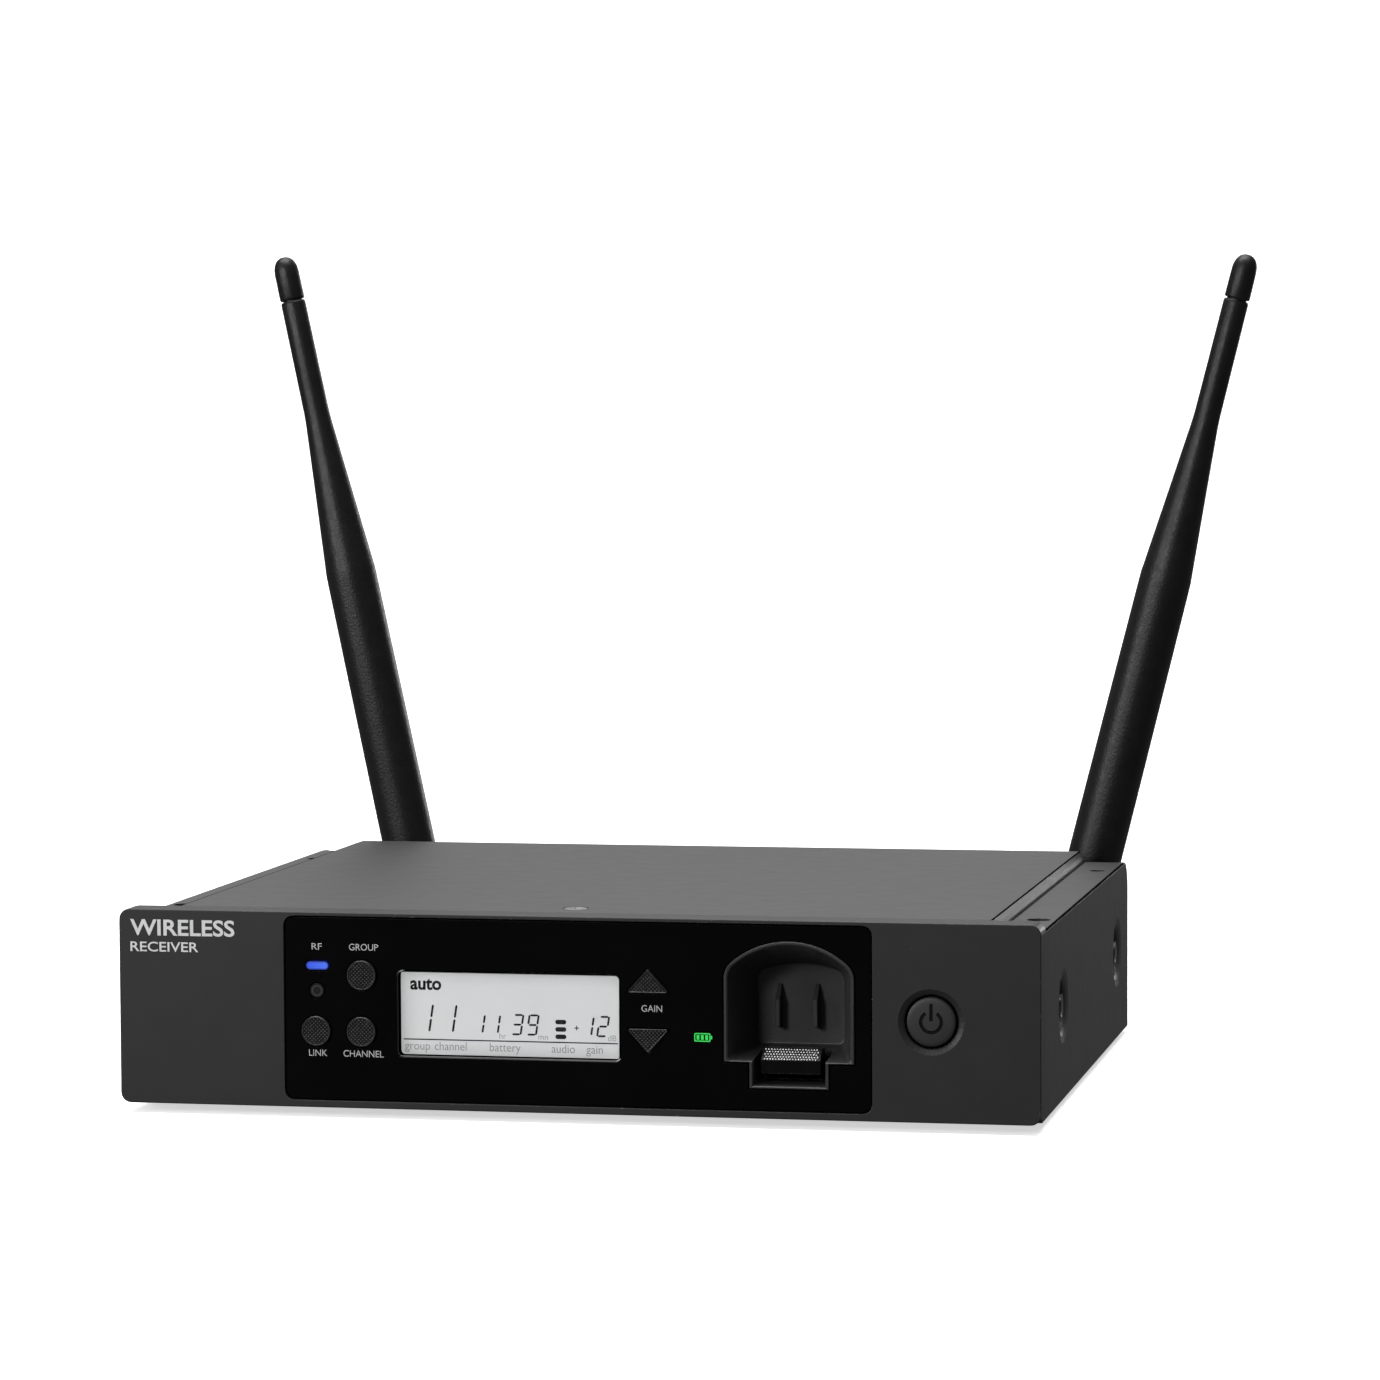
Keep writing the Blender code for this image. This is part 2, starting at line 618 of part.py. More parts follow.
def make_charging_bay():
    """Tub behind the arched opening: tapered walls, two ribs and a pocket for the latch."""
    front = FASCIA_FRONT - 0.0001
    tub = solid("charging_bay", [prism_rings(bay_outline(), front, BAY_OUTER_BACK)], BLACK_GLOSS)

    def hollow(half, floor, crown, y):
        points = [(BAY_X - half, floor), (BAY_X + half, floor)] + arch(half, *crown)
        return [Vector((x, y, z)) for x, z in points]

    crown = (BAY_SHOULDER - 0.0003, BAY_TOP - BAY_RIM, BAY_CORNER)
    front_ring = hollow(BAY_HALF - BAY_RIM, BAY_FLOOR + 0.0002, crown, front - 0.0005)
    crown = (BAY_BACK_SHOULDER, BAY_BACK_TOP, BAY_BACK_CORNER)
    back_ring = hollow(BAY_BACK_HALF, BAY_BACK_FLOOR, crown, BAY_BACK)
    shape_with(tub, [[front_ring, back_ring]])

    notch = NOTCH_HALF - BAY_RIM
    pocket = box_rings((BAY_X - notch, front - 0.001, NOTCH_FLOOR + 0.0005),
                       (BAY_X + notch, NOTCH_BACK, BAY_BACK_FLOOR + 0.0010))
    shape_with(tub, [pocket])
    stem_slot = box_rings((BAY_X - STEM_SLOT_HALF, NOTCH_BACK - 0.001, 0.0076),
                          (BAY_X + STEM_SLOT_HALF, BAY_OUTER_BACK + 0.001, 0.0128))
    shape_with(tub, [stem_slot])

    rib_front = BAY_BACK - RIB_DEPTH
    root = BAY_BACK + 0.001
    profile = [(rib_front, RIB_LOW), (root, RIB_LOW - 0.0008), (root, RIB_HIGH + RIB_RAMP),
               (BAY_BACK - 0.0004, RIB_HIGH + RIB_RAMP), (rib_front, RIB_HIGH)]
    ribs = []
    for side in (-1, 1):
        x = RIB_MIDDLE + side * RIB_SPACING / 2
        ribs.append(prism_rings(profile, x - RIB_WIDTH / 2, x + RIB_WIDTH / 2, "x"))
    shape_with(tub, ribs, "UNION")


def make_battery_latch():
    """Sprung latch with a sloped thumb face; it slides down on a stem through the tub."""
    origin = Vector((BAY_X, LATCH_FRONT, LATCH_LIP))
    back = NOTCH_BACK - 0.0030
    profile = [(LATCH_FRONT, LATCH_LOW), (back, LATCH_LOW), (back, LATCH_TOP),
               (LATCH_FRONT + LATCH_RUN, LATCH_TOP), (LATCH_FRONT, LATCH_LIP)]
    rings = prism_rings(profile, BAY_X - LATCH_HALF, BAY_X + LATCH_HALF, "x")
    rings = [[point - origin for point in ring] for ring in rings]
    latch = solid("battery_latch", [rings], BLACK_GLOSS, origin=origin)
    stem = box_rings((BAY_X - 0.0022, back - 0.001, 0.0101),
                     (BAY_X + 0.0022, BAY_OUTER_BACK + 0.003, 0.0124))
    stem = [[point - origin for point in ring] for ring in stem]
    shape_with(latch, [stem], "UNION")


# ---------------------------------------------------------------- boards
def make_front_boards():
    """Control board with its key switches, and the board behind the bay and power button."""
    board_front = FASCIA_BACK + 0.0034
    board_back = board_front + 0.0016
    shape = box_rings((-0.0605, board_front, 0.0040), (0.0305, board_back, 0.0390))
    board = solid("control_board", [shape], BOARD_GREEN)
    centres = list(ROUND_BUTTONS.values())
    centres += [(GAIN_BUTTON_X, base + tip * GAIN_BUTTON_HEIGHT / 3) for base, tip in GAIN_BUTTONS.values()]
    keys = []
    for x, z in centres:
        body = [(board_front + 0.0004, 0.0021), (board_front - 0.0008, 0.0021),
                (board_front - 0.0008, 0.0009), (board_front - 0.0014, 0.0009)]
        keys.append(turned_rings(body, "y", (x, z), 12))
    shape_with(board, keys, "UNION")

    low = BAY_OUTER_BACK + 0.0040
    shape = box_rings((0.0325, low, 0.0110), (0.0930, low + 0.0016, 0.0360))
    board = solid("charger_board", [shape], BOARD_GREEN)
    key = [(low + 0.0004, 0.0042), (low - 0.0040, 0.0042), (low - 0.0040, 0.0018),
           (BEZEL_BACK + 0.0014 + POWER_TRAVEL + GAP, 0.0018)]
    shape_with(board, [turned_rings(key, "y", (POWER_X, POWER_Z), 16)], "UNION")


def make_main_board():
    """Main board on the tray's standoffs, with its two shield cans."""
    board = box_rings((-0.0900, -0.0560, BOARD_LOW), (0.0900, 0.0640, BOARD_HIGH))
    solid("main_board", [board], BOARD_GREEN)
    cans = {
        "rf_shield": ((-0.0550, 0.0050), (0.0150, 0.0420)),
        "audio_shield": ((0.0250, -0.0350), (0.0650, 0.0000)),
    }
    for name, (low, high) in cans.items():
        outline = rounded_box((high[0] - low[0]) / 2, (high[1] - low[1]) / 2, 0.0015,
                              ((low[0] + high[0]) / 2, (low[1] + high[1]) / 2), 2)
        solid(name, [prism_rings(outline, BOARD_HIGH + GAP, BOARD_HIGH + 0.0042, "z")], BARE_METAL)


def make_ribbon():
    """Flat cable from the control board down to the main board."""
    thick = 0.0003
    start_y = FASCIA_BACK + 0.0034 + 0.0016 + GAP
    path = [(start_y, 0.0200), (start_y + 0.0010, 0.0160), (start_y + 0.0050, 0.0130),
            (start_y + 0.0110, 0.0120), (start_y + 0.0170, 0.0105), (start_y + 0.0215, BOARD_HIGH + GAP)]
    upper = [(y + thick, z + thick) for y, z in path]
    outline = path + upper[::-1]
    solid("ribbon_cable", [prism_rings(outline, -0.0200, -0.0040, "x")], ((0.85, 0.85, 0.82), 0.5, 0.0))


# ---------------------------------------------------------------- rear ports
def make_xlr():
    """Three-pin output: flanged barrel through the panel and an insert with its pins."""
    face = PANEL_OUT + GAP
    flange = rounded_box(0.0130, 0.0150, 0.0020, (XLR_X, PORT_Z), 3)
    shell = solid("xlr_shell", [prism_rings(flange, face, face + 0.0018)], BARE_METAL)
    depth = 0.0200
    barrel = turned_rings([(face + 0.0010, XLR_BARREL), (face - depth, XLR_BARREL)], "y", (XLR_X, PORT_Z))
    shape_with(shell, [barrel], "UNION")
    bore = turned_rings([(face + 0.0050, XLR_BORE), (face - depth - 0.001, XLR_BORE)], "y", (XLR_X, PORT_Z))
    shape_with(shell, [bore])
    floor = face - 0.0150
    disc = turned_rings([(floor, XLR_BORE - GAP), (floor - 0.0040, XLR_BORE - GAP)], "y", (XLR_X, PORT_Z))
    insert = solid("xlr_insert", [disc], BLACK_MATTE)
    pins = []
    for turn in (210.0, 330.0, 90.0):
        x = XLR_X + 0.0042 * math.cos(math.radians(turn))
        z = PORT_Z - 0.0042 * math.sin(math.radians(turn))
        pin = [(floor - 0.0070, 0.0012), (floor + 0.0115, 0.0012), (floor + 0.0125, 0.0006)]
        pins.append(turned_rings(pin, "y", (x, z), 12))
    shape_with(insert, pins, "UNION")


def hexagon(across_flats, centre):
    """Outline of a hexagon nut."""
    return circle(across_flats / math.sqrt(3), centre, 6)


def make_jack():
    """Quarter-inch output: a body with a threaded bushing, and its nut."""
    centre = (JACK_X, PORT_Z)
    inside = PANEL_IN - GAP
    body = solid("jack_body", [box_rings((JACK_X - 0.0080, inside - 0.0220, PORT_Z - 0.0070),
                                         (JACK_X + 0.0080, inside, PORT_Z + 0.0070))], BLACK_MATTE)
    outer = PANEL_OUT + 0.0070
    bushing = turned_rings([(inside - 0.0020, JACK_BUSHING), (outer - 0.0004, JACK_BUSHING),
                            (outer, JACK_BUSHING - 0.0004)], "y", centre)
    shape_with(body, [bushing], "UNION")
    bore = turned_rings([(inside - 0.0200, JACK_BORE), (outer + 0.001, JACK_BORE)], "y", centre)
    shape_with(body, [bore])
    face = PANEL_OUT + GAP
    nut = solid("jack_nut", [prism_rings(hexagon(0.0140, centre), face, face + 0.0025)], BARE_METAL)
    hole = turned_rings([(face - 0.001, JACK_BUSHING + GAP), (face + 0.004, JACK_BUSHING + GAP)], "y", centre)
    shape_with(nut, [hole])


def make_dc_inlet():
    """Power inlet: a socket with a centre pin."""
    centre = (DC_X, PORT_Z)
    inside = PANEL_IN - GAP
    body = solid("dc_inlet", [box_rings((DC_X - 0.0055, inside - 0.0140, PORT_Z - 0.0055),
                                        (DC_X + 0.0055, inside, PORT_Z + 0.0055))], BLACK_MATTE)
    outer = PANEL_OUT + 0.0012
    bushing = turned_rings([(inside - 0.0020, DC_BUSHING), (outer, DC_BUSHING)], "y", centre)
    shape_with(body, [bushing], "UNION")
    floor = inside - 0.0090
    bore = turned_rings([(floor, DC_BORE), (outer + 0.001, DC_BORE)], "y", centre)
    shape_with(body, [bore])
    pin = turned_rings([(floor - 0.0010, 0.0010), (outer - 0.0030, 0.0010), (outer - 0.0024, 0.0006)],
                       "y", centre, 12)
    shape_with(body, [pin], "UNION")


def make_cord_tie_off():
    """Hook beside the inlet that a power lead is looped round."""
    face = PANEL_OUT + GAP
    profile = [(face, -0.0060), (face + 0.0016, -0.0060), (face + 0.0016, 0.0014), (face + 0.0070, 0.0014),
               (face + 0.0070, -0.0024), (face + 0.0086, -0.0024), (face + 0.0086, 0.0030),
               (face + 0.0016, 0.0030), (face + 0.0016, 0.0060), (face, 0.0060)]
    outline = [(y, PORT_Z + z) for y, z in profile]
    solid("cord_tie_off", [prism_rings(outline, TIE_X - 0.0030, TIE_X + 0.0030, "x")], STEEL)


def make_usb_port():
    """Service port: a shell with a slot and its tongue."""
    outer = rounded_box(0.0039, 0.0015, 0.0005, (USB_X, PORT_Z), 2)
    inner = rounded_box(0.0034, 0.0010, 0.0003, (USB_X, PORT_Z), 2)
    front = PANEL_OUT + 0.0004
    port = solid("usb_port", [prism_rings(outer, front - 0.0060, front)], BARE_METAL)
    shape_with(port, [prism_rings(inner, front - 0.0050, front + 0.001)])
    tongue = box_rings((USB_X - 0.0018, front - 0.0055, PORT_Z - 0.0004),
                       (USB_X + 0.0018, front - 0.0008, PORT_Z + 0.0002))
    shape_with(port, [tongue], "UNION")


def make_level_switch():
    """Two-position slide switch: a body behind the panel and its slider."""
    inside = PANEL_IN - GAP
    block = box_rings((SWITCH_X - 0.0075, inside - 0.0060, PORT_Z - 0.0040),
                      (SWITCH_X + 0.0075, inside, PORT_Z + 0.0040))
    body = solid("level_switch_body", [block], BARE_METAL)
    track = box_rings((SWITCH_X - 0.0043, inside - 0.0040, PORT_Z - 0.0019),
                      (SWITCH_X + 0.0043, inside + 0.001, PORT_Z + 0.0019))
    shape_with(body, [track])
    start = SWITCH_X - SWITCH_TRAVEL / 2
    origin = Vector((start, inside, PORT_Z))
    slider = box_rings((-0.0017, -0.0037, -0.0016), (0.0017, PANEL_OUT - inside + 0.0014, 0.0016))
    solid("level_switch_slider", [slider], BLACK_MATTE, origin=origin)


# ---------------------------------------------------------------- antennas
def make_antenna_connector(side, x):
    """Threaded bulkhead connector with a flange inside the panel, and its nut."""
    centre = (x, PORT_Z)
    inside = PANEL_IN - GAP
    tip = PANEL_OUT + 0.0088
    profile = [(inside - 0.0080, 0.0016), (inside - 0.0030, 0.0016),
               (inside - 0.0030, 0.0045), (inside, 0.0045),
               (inside, SMA_RADIUS), (tip - 0.0003, SMA_RADIUS), (tip, SMA_RADIUS - 0.0003),
               (tip, 0.0022), (tip - 0.0060, 0.0022)]
    solid(f"antenna_connector_{side}", [turned_rings(profile, "y", centre, 16)], BRASS, smooth=True)
    face = PANEL_OUT + GAP
    block = prism_rings(hexagon(0.0080, centre), face, face + 0.0018)
    nut = solid(f"antenna_nut_{side}", [block], BRASS)
    hole = turned_rings([(face - 0.001, SMA_RADIUS + GAP), (face + 0.003, SMA_RADIUS + GAP)],
                        "y", centre, 16)
    shape_with(nut, [hole])


def tongue_outline(radius, height):
    """Round-ended strap about the hinge, from below it up to a height; points are (y, z)."""
    points = []
    for k in range(9):
        angle = math.radians(180 + 180 * k / 8)
        points.append((radius * math.cos(angle), radius * math.sin(angle)))
    return points + [(radius, height), (-radius, height)]


def ear_outline():
    """Round-ended ear about the hinge, reaching forward to the collar; points are (y, z)."""
    points = [(-0.0078, EAR_RADIUS * 0.8), (-0.0078, -EAR_RADIUS * 0.8)]
    for k in range(9):
        angle = math.radians(-90 + 180 * k / 8)
        points.append((EAR_RADIUS * math.cos(angle), EAR_RADIUS * math.sin(angle)))
    return points


def make_antenna(side, x, lean):
    """Swivel collar with a fork, hinge pin, whip and tip, leaned about the connector's axis."""
    pivot = (x, ELBOW_Y, PORT_Z)
    turn = (0.0, math.radians(lean), 0.0)
    collar_front = PANEL_OUT + 0.0026 - ELBOW_Y
    collar_back = -0.0066
    cup = PANEL_OUT + 0.0098 - ELBOW_Y
    bore = SMA_RADIUS + GAP
    profile = [(collar_front, COLLAR_RADIUS - 0.0004), (collar_front + 0.0004, COLLAR_RADIUS),
               (collar_back - 0.0006, COLLAR_RADIUS), (collar_back, COLLAR_RADIUS - 0.0006)]
    base = solid(f"antenna_base_{side}", [turned_rings(profile, "y", (0, 0), 24)], BLACK_MATTE, origin=pivot)
    ears = [prism_rings(ear_outline(), hand * EAR_IN, hand * EAR_OUT, "x") for hand in (-1, 1)]
    shape_with(base, ears, "UNION")
    shape_with(base, [turned_rings([(collar_front - 0.001, bore), (cup, bore)], "y", (0, 0), 16)])
    pin_hole = PIN_RADIUS + PIN_CLEARANCE
    hole = turned_rings([(-0.010, pin_hole), (0.010, pin_hole)], "x", (0, 0), 12)
    shape_with(base, [hole])

    pin_profile = [(-EAR_OUT, PIN_RADIUS), (EAR_OUT, PIN_RADIUS)]
    pin = solid(f"antenna_pin_{side}", [turned_rings(pin_profile, "x", (0, 0), 12)], BARE_METAL, origin=pivot)

    whip = solid(f"antenna_whip_{side}", [turned_rings(WHIP_PROFILE, "z")], BLACK_MATTE,
                 smooth=True, origin=pivot)
    tongue = prism_rings(tongue_outline(0.0053, WHIP_PROFILE[0][0] + 0.002), -TONGUE_HALF, TONGUE_HALF, "x")
    shape_with(whip, [tongue], "UNION")
    shape_with(whip, [hole])
    tip = solid(f"antenna_tip_{side}", [turned_rings(TIP_PROFILE, "z")], BLACK_MATTE,
                smooth=True, origin=pivot)
    for piece in (base, pin, whip, tip):
        piece.rotation_euler = turn


def make_coax(side, x):
    """Thin lead from an antenna connector, arching down to the radio shield."""
    start = Vector((x, PANEL_IN - GAP - 0.0080 - 2 * GAP, PORT_Z))
    end_x = -0.0450 if x < 0 else 0.0050
    end = Vector((end_x, 0.0300, BOARD_HIGH + 0.0042 + 0.0012))
    points = 22
    curve = bpy.data.curves.new(f"coax_{side}", "CURVE")
    curve.dimensions = "3D"
    curve.bevel_depth = 0.0006
    curve.bevel_resolution = 2
    curve.use_fill_caps = True
    spline = curve.splines.new("POLY")
    spline.points.add(points - 1)
    lead = Vector((0.0, -0.022, 0.0))
    drop = Vector((0.012 * math.copysign(1.0, x), 0.0, 0.0))
    for k in range(points):
        t = k / (points - 1)
        a, b, c, d = start, start + lead, end + drop, end
        place = a * (1 - t) ** 3 + b * 3 * t * (1 - t) ** 2 + c * 3 * t * t * (1 - t) + d * t ** 3
        spline.points[k].co = (*place, 1.0)
    obj = bpy.data.objects.new(f"coax_{side}", curve)
    bpy.context.collection.objects.link(obj)
    curve.materials.append(material(f"coax_{side}", *BLACK_MATTE))


def main():
    clear_scene()
    make_base_tray()
    make_side_plate("side_plate_left", -1)
    make_side_plate("side_plate_right", 1)
    make_rear_panel()
    make_top_cover()
    make_cover_screw()
    make_feet()
    make_bezel()
    make_fascia()
    make_display()
    make_lights()
    make_buttons()
    make_power_button()
    make_charging_bay()
    make_battery_latch()
    make_front_boards()
    make_main_board()
    make_ribbon()
    make_xlr()
    make_jack()
    make_dc_inlet()
    make_cord_tie_off()
    make_usb_port()
    make_level_switch()
    for side, (x, lean) in ANTENNAS.items():
        make_antenna_connector(side, x)
        make_antenna(side, x, lean)
        make_coax(side, x)


main()
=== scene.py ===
"""Looks of the half-rack receiver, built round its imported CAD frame. Metres, +Z up."""
import math

import bmesh
import bpy
from mathutils import Matrix, Vector


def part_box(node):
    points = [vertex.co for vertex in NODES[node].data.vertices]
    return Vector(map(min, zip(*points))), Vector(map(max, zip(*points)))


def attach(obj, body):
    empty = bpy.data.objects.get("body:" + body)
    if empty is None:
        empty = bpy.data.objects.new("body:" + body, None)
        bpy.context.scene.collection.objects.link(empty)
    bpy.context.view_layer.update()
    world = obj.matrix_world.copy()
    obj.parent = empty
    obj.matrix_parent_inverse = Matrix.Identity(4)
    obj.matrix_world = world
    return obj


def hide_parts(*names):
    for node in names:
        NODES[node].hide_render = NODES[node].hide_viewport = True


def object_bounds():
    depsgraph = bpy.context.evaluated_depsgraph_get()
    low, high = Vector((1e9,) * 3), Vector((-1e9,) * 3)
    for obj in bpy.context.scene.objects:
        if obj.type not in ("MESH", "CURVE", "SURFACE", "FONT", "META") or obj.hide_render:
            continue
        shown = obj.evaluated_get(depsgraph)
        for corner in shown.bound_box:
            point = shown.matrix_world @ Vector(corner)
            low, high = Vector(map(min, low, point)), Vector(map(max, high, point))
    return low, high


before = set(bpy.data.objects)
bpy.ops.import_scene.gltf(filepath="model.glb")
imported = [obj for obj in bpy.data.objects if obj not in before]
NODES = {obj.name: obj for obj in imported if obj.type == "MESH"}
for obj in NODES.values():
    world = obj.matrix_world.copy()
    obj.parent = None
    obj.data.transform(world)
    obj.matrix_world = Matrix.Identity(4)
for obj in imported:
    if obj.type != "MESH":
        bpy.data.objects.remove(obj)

CAD_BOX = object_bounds()
MM = 0.001

# ---------------------------------------------------------------- camera, floor and light
CAMERA_TURN = math.radians(11.538)      # round the object, from straight in front
CAMERA_RISE = math.radians(3.718)
CAMERA_ROLL = math.radians(-0.265)
CAMERA_DISTANCE = 1.0861
CAMERA_TARGET = Vector((0.01324, -0.0215, 0.08558))
CAMERA_LENS = 129.35                    # on a 36 mm sensor


def make_camera():
    """Camera at the photograph's viewing angle."""
    turn, rise, roll = CAMERA_TURN, CAMERA_RISE, CAMERA_ROLL
    back = Vector((math.sin(turn) * math.cos(rise), -math.cos(turn) * math.cos(rise), math.sin(rise)))
    level = Vector((math.cos(turn), math.sin(turn), 0.0))
    above = back.cross(level)
    right = level * math.cos(roll) + above * math.sin(roll)
    up = above * math.cos(roll) - level * math.sin(roll)
    data = bpy.data.cameras.new("camera")
    data.lens = CAMERA_LENS
    data.sensor_width = 36.0
    data.clip_start = 0.05
    camera = bpy.data.objects.new("camera", data)
    rotation = Matrix((right, up, back)).transposed().to_4x4()
    camera.matrix_world = Matrix.Translation(CAMERA_TARGET + back * CAMERA_DISTANCE) @ rotation
    bpy.context.collection.objects.link(camera)
    bpy.context.scene.camera = camera


def area_light(name, place, target, size, power):
    """Rectangular soft light aimed at a point."""
    data = bpy.data.lights.new(name, "AREA")
    data.shape = "RECTANGLE"
    data.size, data.size_y = size
    data.energy = power
    light = bpy.data.objects.new(name, data)
    light.location = place
    light.rotation_euler = (Vector(target) - Vector(place)).to_track_quat("-Z", "Y").to_euler()
    bpy.context.collection.objects.link(light)


def make_studio():
    """Pale floor that sweeps up behind the object, and soft light."""
    floor_z = CAD_BOX[0].z
    wall_y, wall_z, bend = 2.2, 4.0, 1.2
    profile = [(-3.0, 0.0), (wall_y - bend, 0.0)]
    for k in range(1, 13):
        angle = math.radians(90 * k / 12)
        profile.append((wall_y - bend + bend * math.sin(angle), bend - bend * math.cos(angle)))
    profile.append((wall_y, wall_z))
    mesh = bpy.data.meshes.new("floor")
    verts = []
    for x in (-4.0, 4.0):
        verts += [(x, y, floor_z + z) for y, z in profile]
    count = len(profile)
    mesh.from_pydata(verts, [], [(k, k + count, k + count + 1, k + 1) for k in range(count - 1)])
    mesh.shade_smooth()
    floor = bpy.data.objects.new("floor", mesh)
    floor.visible_glossy = False
    floor.visible_diffuse = False
    bpy.context.collection.objects.link(floor)
    paper = bpy.data.materials.new("backdrop_paper")
    paper.use_nodes = True
    shader = paper.node_tree.nodes["Principled BSDF"]
    shader.inputs["Base Color"].default_value = (0.70, 0.70, 0.70, 1)
    shader.inputs["Emission Color"].default_value = (1, 1, 1, 1)
    shader.inputs["Emission Strength"].default_value = 0.6
    shader.inputs["Roughness"].default_value = 0.9
    shader.inputs["Specular IOR Level"].default_value = 0.0
    mesh.materials.append(paper)

    world = bpy.data.worlds.new("studio")
    world.use_nodes = True
    world.node_tree.nodes["Background"].inputs["Color"].default_value = (1, 1, 1, 1)
    world.node_tree.nodes["Background"].inputs["Strength"].default_value = 0.135
    bpy.context.scene.world = world
    area_light("key_light", (-0.36, -1.15, 0.42), (0.02, -0.08, 0.02), (0.22, 0.22), 5.6)
    area_light("left_light", (-0.55, -0.50, 0.22), (-0.05, -0.08, 0.02), (0.20, 0.30), 2.2)
    area_light("top_light", (-0.2, 0.2, 2.2), (0, 0.1, 0.0), (2.4, 2.0), 62)
    area_light("rear_light", (-0.2, 1.9, 1.15), (0, 0.0, 0.05), (2.2, 0.9), 8.5)
    area_light("right_light", (0.62, 1.70, 0.24), (0.10, 0.0, 0.03), (0.5, 0.4), 4)
    area_light("backdrop_light", (-0.4, -0.2, 2.6), (-0.4, 2.2, 0.5), (3.0, 0.8), 60)
    bpy.context.scene.view_settings.view_transform = "Standard"


# ---------------------------------------------------------------- materials
def add_node(tree, kind, values=None, **settings):
    """Add a shader node; a value that is a socket is linked, any other is set."""
    node = tree.nodes.new(kind)
    for key, value in settings.items():
        setattr(node, key, value)
    for key, value in (values or {}).items():
        if isinstance(value, bpy.types.NodeSocket):
            tree.links.new(value, node.inputs[key])
        else:
            node.inputs[key].default_value = value
    return node


def add_noise(tree, place, scale, detail=3.0):
    """Fractal noise on the object's own coordinates."""
    node = add_node(tree, "ShaderNodeTexNoise", {"Vector": place, "Scale": scale, "Detail": detail})
    return node.outputs["Fac"]


def add_range(tree, value, low, high, to_low, to_high):
    """Map a value from one range to another, held at the ends."""
    node = add_node(tree, "ShaderNodeMapRange", {"Value": value, "From Min": low, "From Max": high,
                                                 "To Min": to_low, "To Max": to_high})
    return node.outputs["Result"]


def add_ramp(tree, value, stops):
    """Colour ramp over (position, colour) stops."""
    node = add_node(tree, "ShaderNodeValToRGB", {"Fac": value})
    ramp = node.color_ramp
    while len(ramp.elements) < len(stops):
        ramp.elements.new(0.5)
    for element, (position, colour) in zip(ramp.elements, stops):
        element.position = position
        element.color = (*colour, 1.0)
    return node.outputs["Color"]


def add_mix(tree, factor, first, second):
    """Blend two colours by a factor."""
    node = add_node(tree, "ShaderNodeMix", data_type="RGBA")
    for index, value in ((0, factor), (6, first), (7, second)):
        if isinstance(value, bpy.types.NodeSocket):
            tree.links.new(value, node.inputs[index])
        else:
            node.inputs[index].default_value = (*value, 1.0)
    return node.outputs[2]


def add_maths(tree, operation, first, second):
    """One maths step on two values."""
    return add_node(tree, "ShaderNodeMath", {0: first, 1: second}, operation=operation).outputs[0]


def edge_wear(tree, place, radius, amount):
    """How much a spot is lightened, only at sharp edges and broken up by noise: worn paint on the case and
    bezel, a painted highlight on the latch.
    """
    rounded = add_node(tree, "ShaderNodeBevel", {"Radius": radius}, samples=4).outputs["Normal"]
    true = add_node(tree, "ShaderNodeNewGeometry").outputs["Normal"]
    along = add_node(tree, "ShaderNodeVectorMath", {0: rounded, 1: true}, operation="DOT_PRODUCT")
    edge = add_range(tree, along.outputs["Value"], 0.99, 0.88, 0.0, 1.0)
    broken = add_range(tree, add_noise(tree, place, 900.0, 6.0), 0.62 - amount, 0.70 - amount, 0.0, 1.0)
    return add_maths(tree, "MULTIPLY", edge, broken)


def scaled(colour, factor):
    """A colour made lighter or darker."""
    return tuple(min(1.0, part * factor) for part in colour)


def make_look(name, colour, roughness, metallic=0.0, specular=0.5, tone=0.12, tone_scale=70.0, spread=0.05,
              grain=0.0, grain_scale=2500.0, wear=None, dust=0.0):
    """Moulded, painted or plated surface: tone and gloss drift, fine grain, and lighter sharp edges, which
    are worn paint on some finishes and a painted highlight on others.
    """
    mat = bpy.data.materials.new(name)
    mat.use_nodes = True
    tree = mat.node_tree
    shader = tree.nodes["Principled BSDF"]
    shader.inputs["Metallic"].default_value = metallic
    shader.inputs["Specular IOR Level"].default_value = specular
    place = add_node(tree, "ShaderNodeTexCoord").outputs["Object"]
    cloud = add_noise(tree, place, tone_scale, 5.0)
    paint = add_ramp(tree, cloud, [(0.3, scaled(colour, 1 - tone)), (0.7, scaled(colour, 1 + tone))])
    if wear:
        wear_colour, wear_radius, wear_amount = wear
        wear_and_highlight_mask = edge_wear(tree, place, wear_radius, wear_amount)
        paint = add_mix(tree, wear_and_highlight_mask, paint, wear_colour)
    if dust:
        specks = add_range(tree, add_noise(tree, place, 1400.0, 2.0), 0.79 - dust * 0.05, 0.83, 0.0, 0.6)
        paint = add_mix(tree, specks, paint, (0.30, 0.30, 0.30))
    tree.links.new(paint, shader.inputs["Base Color"])
    gloss = add_noise(tree, place, tone_scale * 2.7, 4.0)
    tree.links.new(add_range(tree, gloss, 0.3, 0.7, roughness - spread, roughness + spread),
                   shader.inputs["Roughness"])
    if grain:
        height = add_noise(tree, place, grain_scale, 2.0)
        bump = add_node(tree, "ShaderNodeBump", {"Height": height, "Distance": grain, "Strength": 1.0})
        tree.links.new(bump.outputs["Normal"], shader.inputs["Normal"])
    return mat


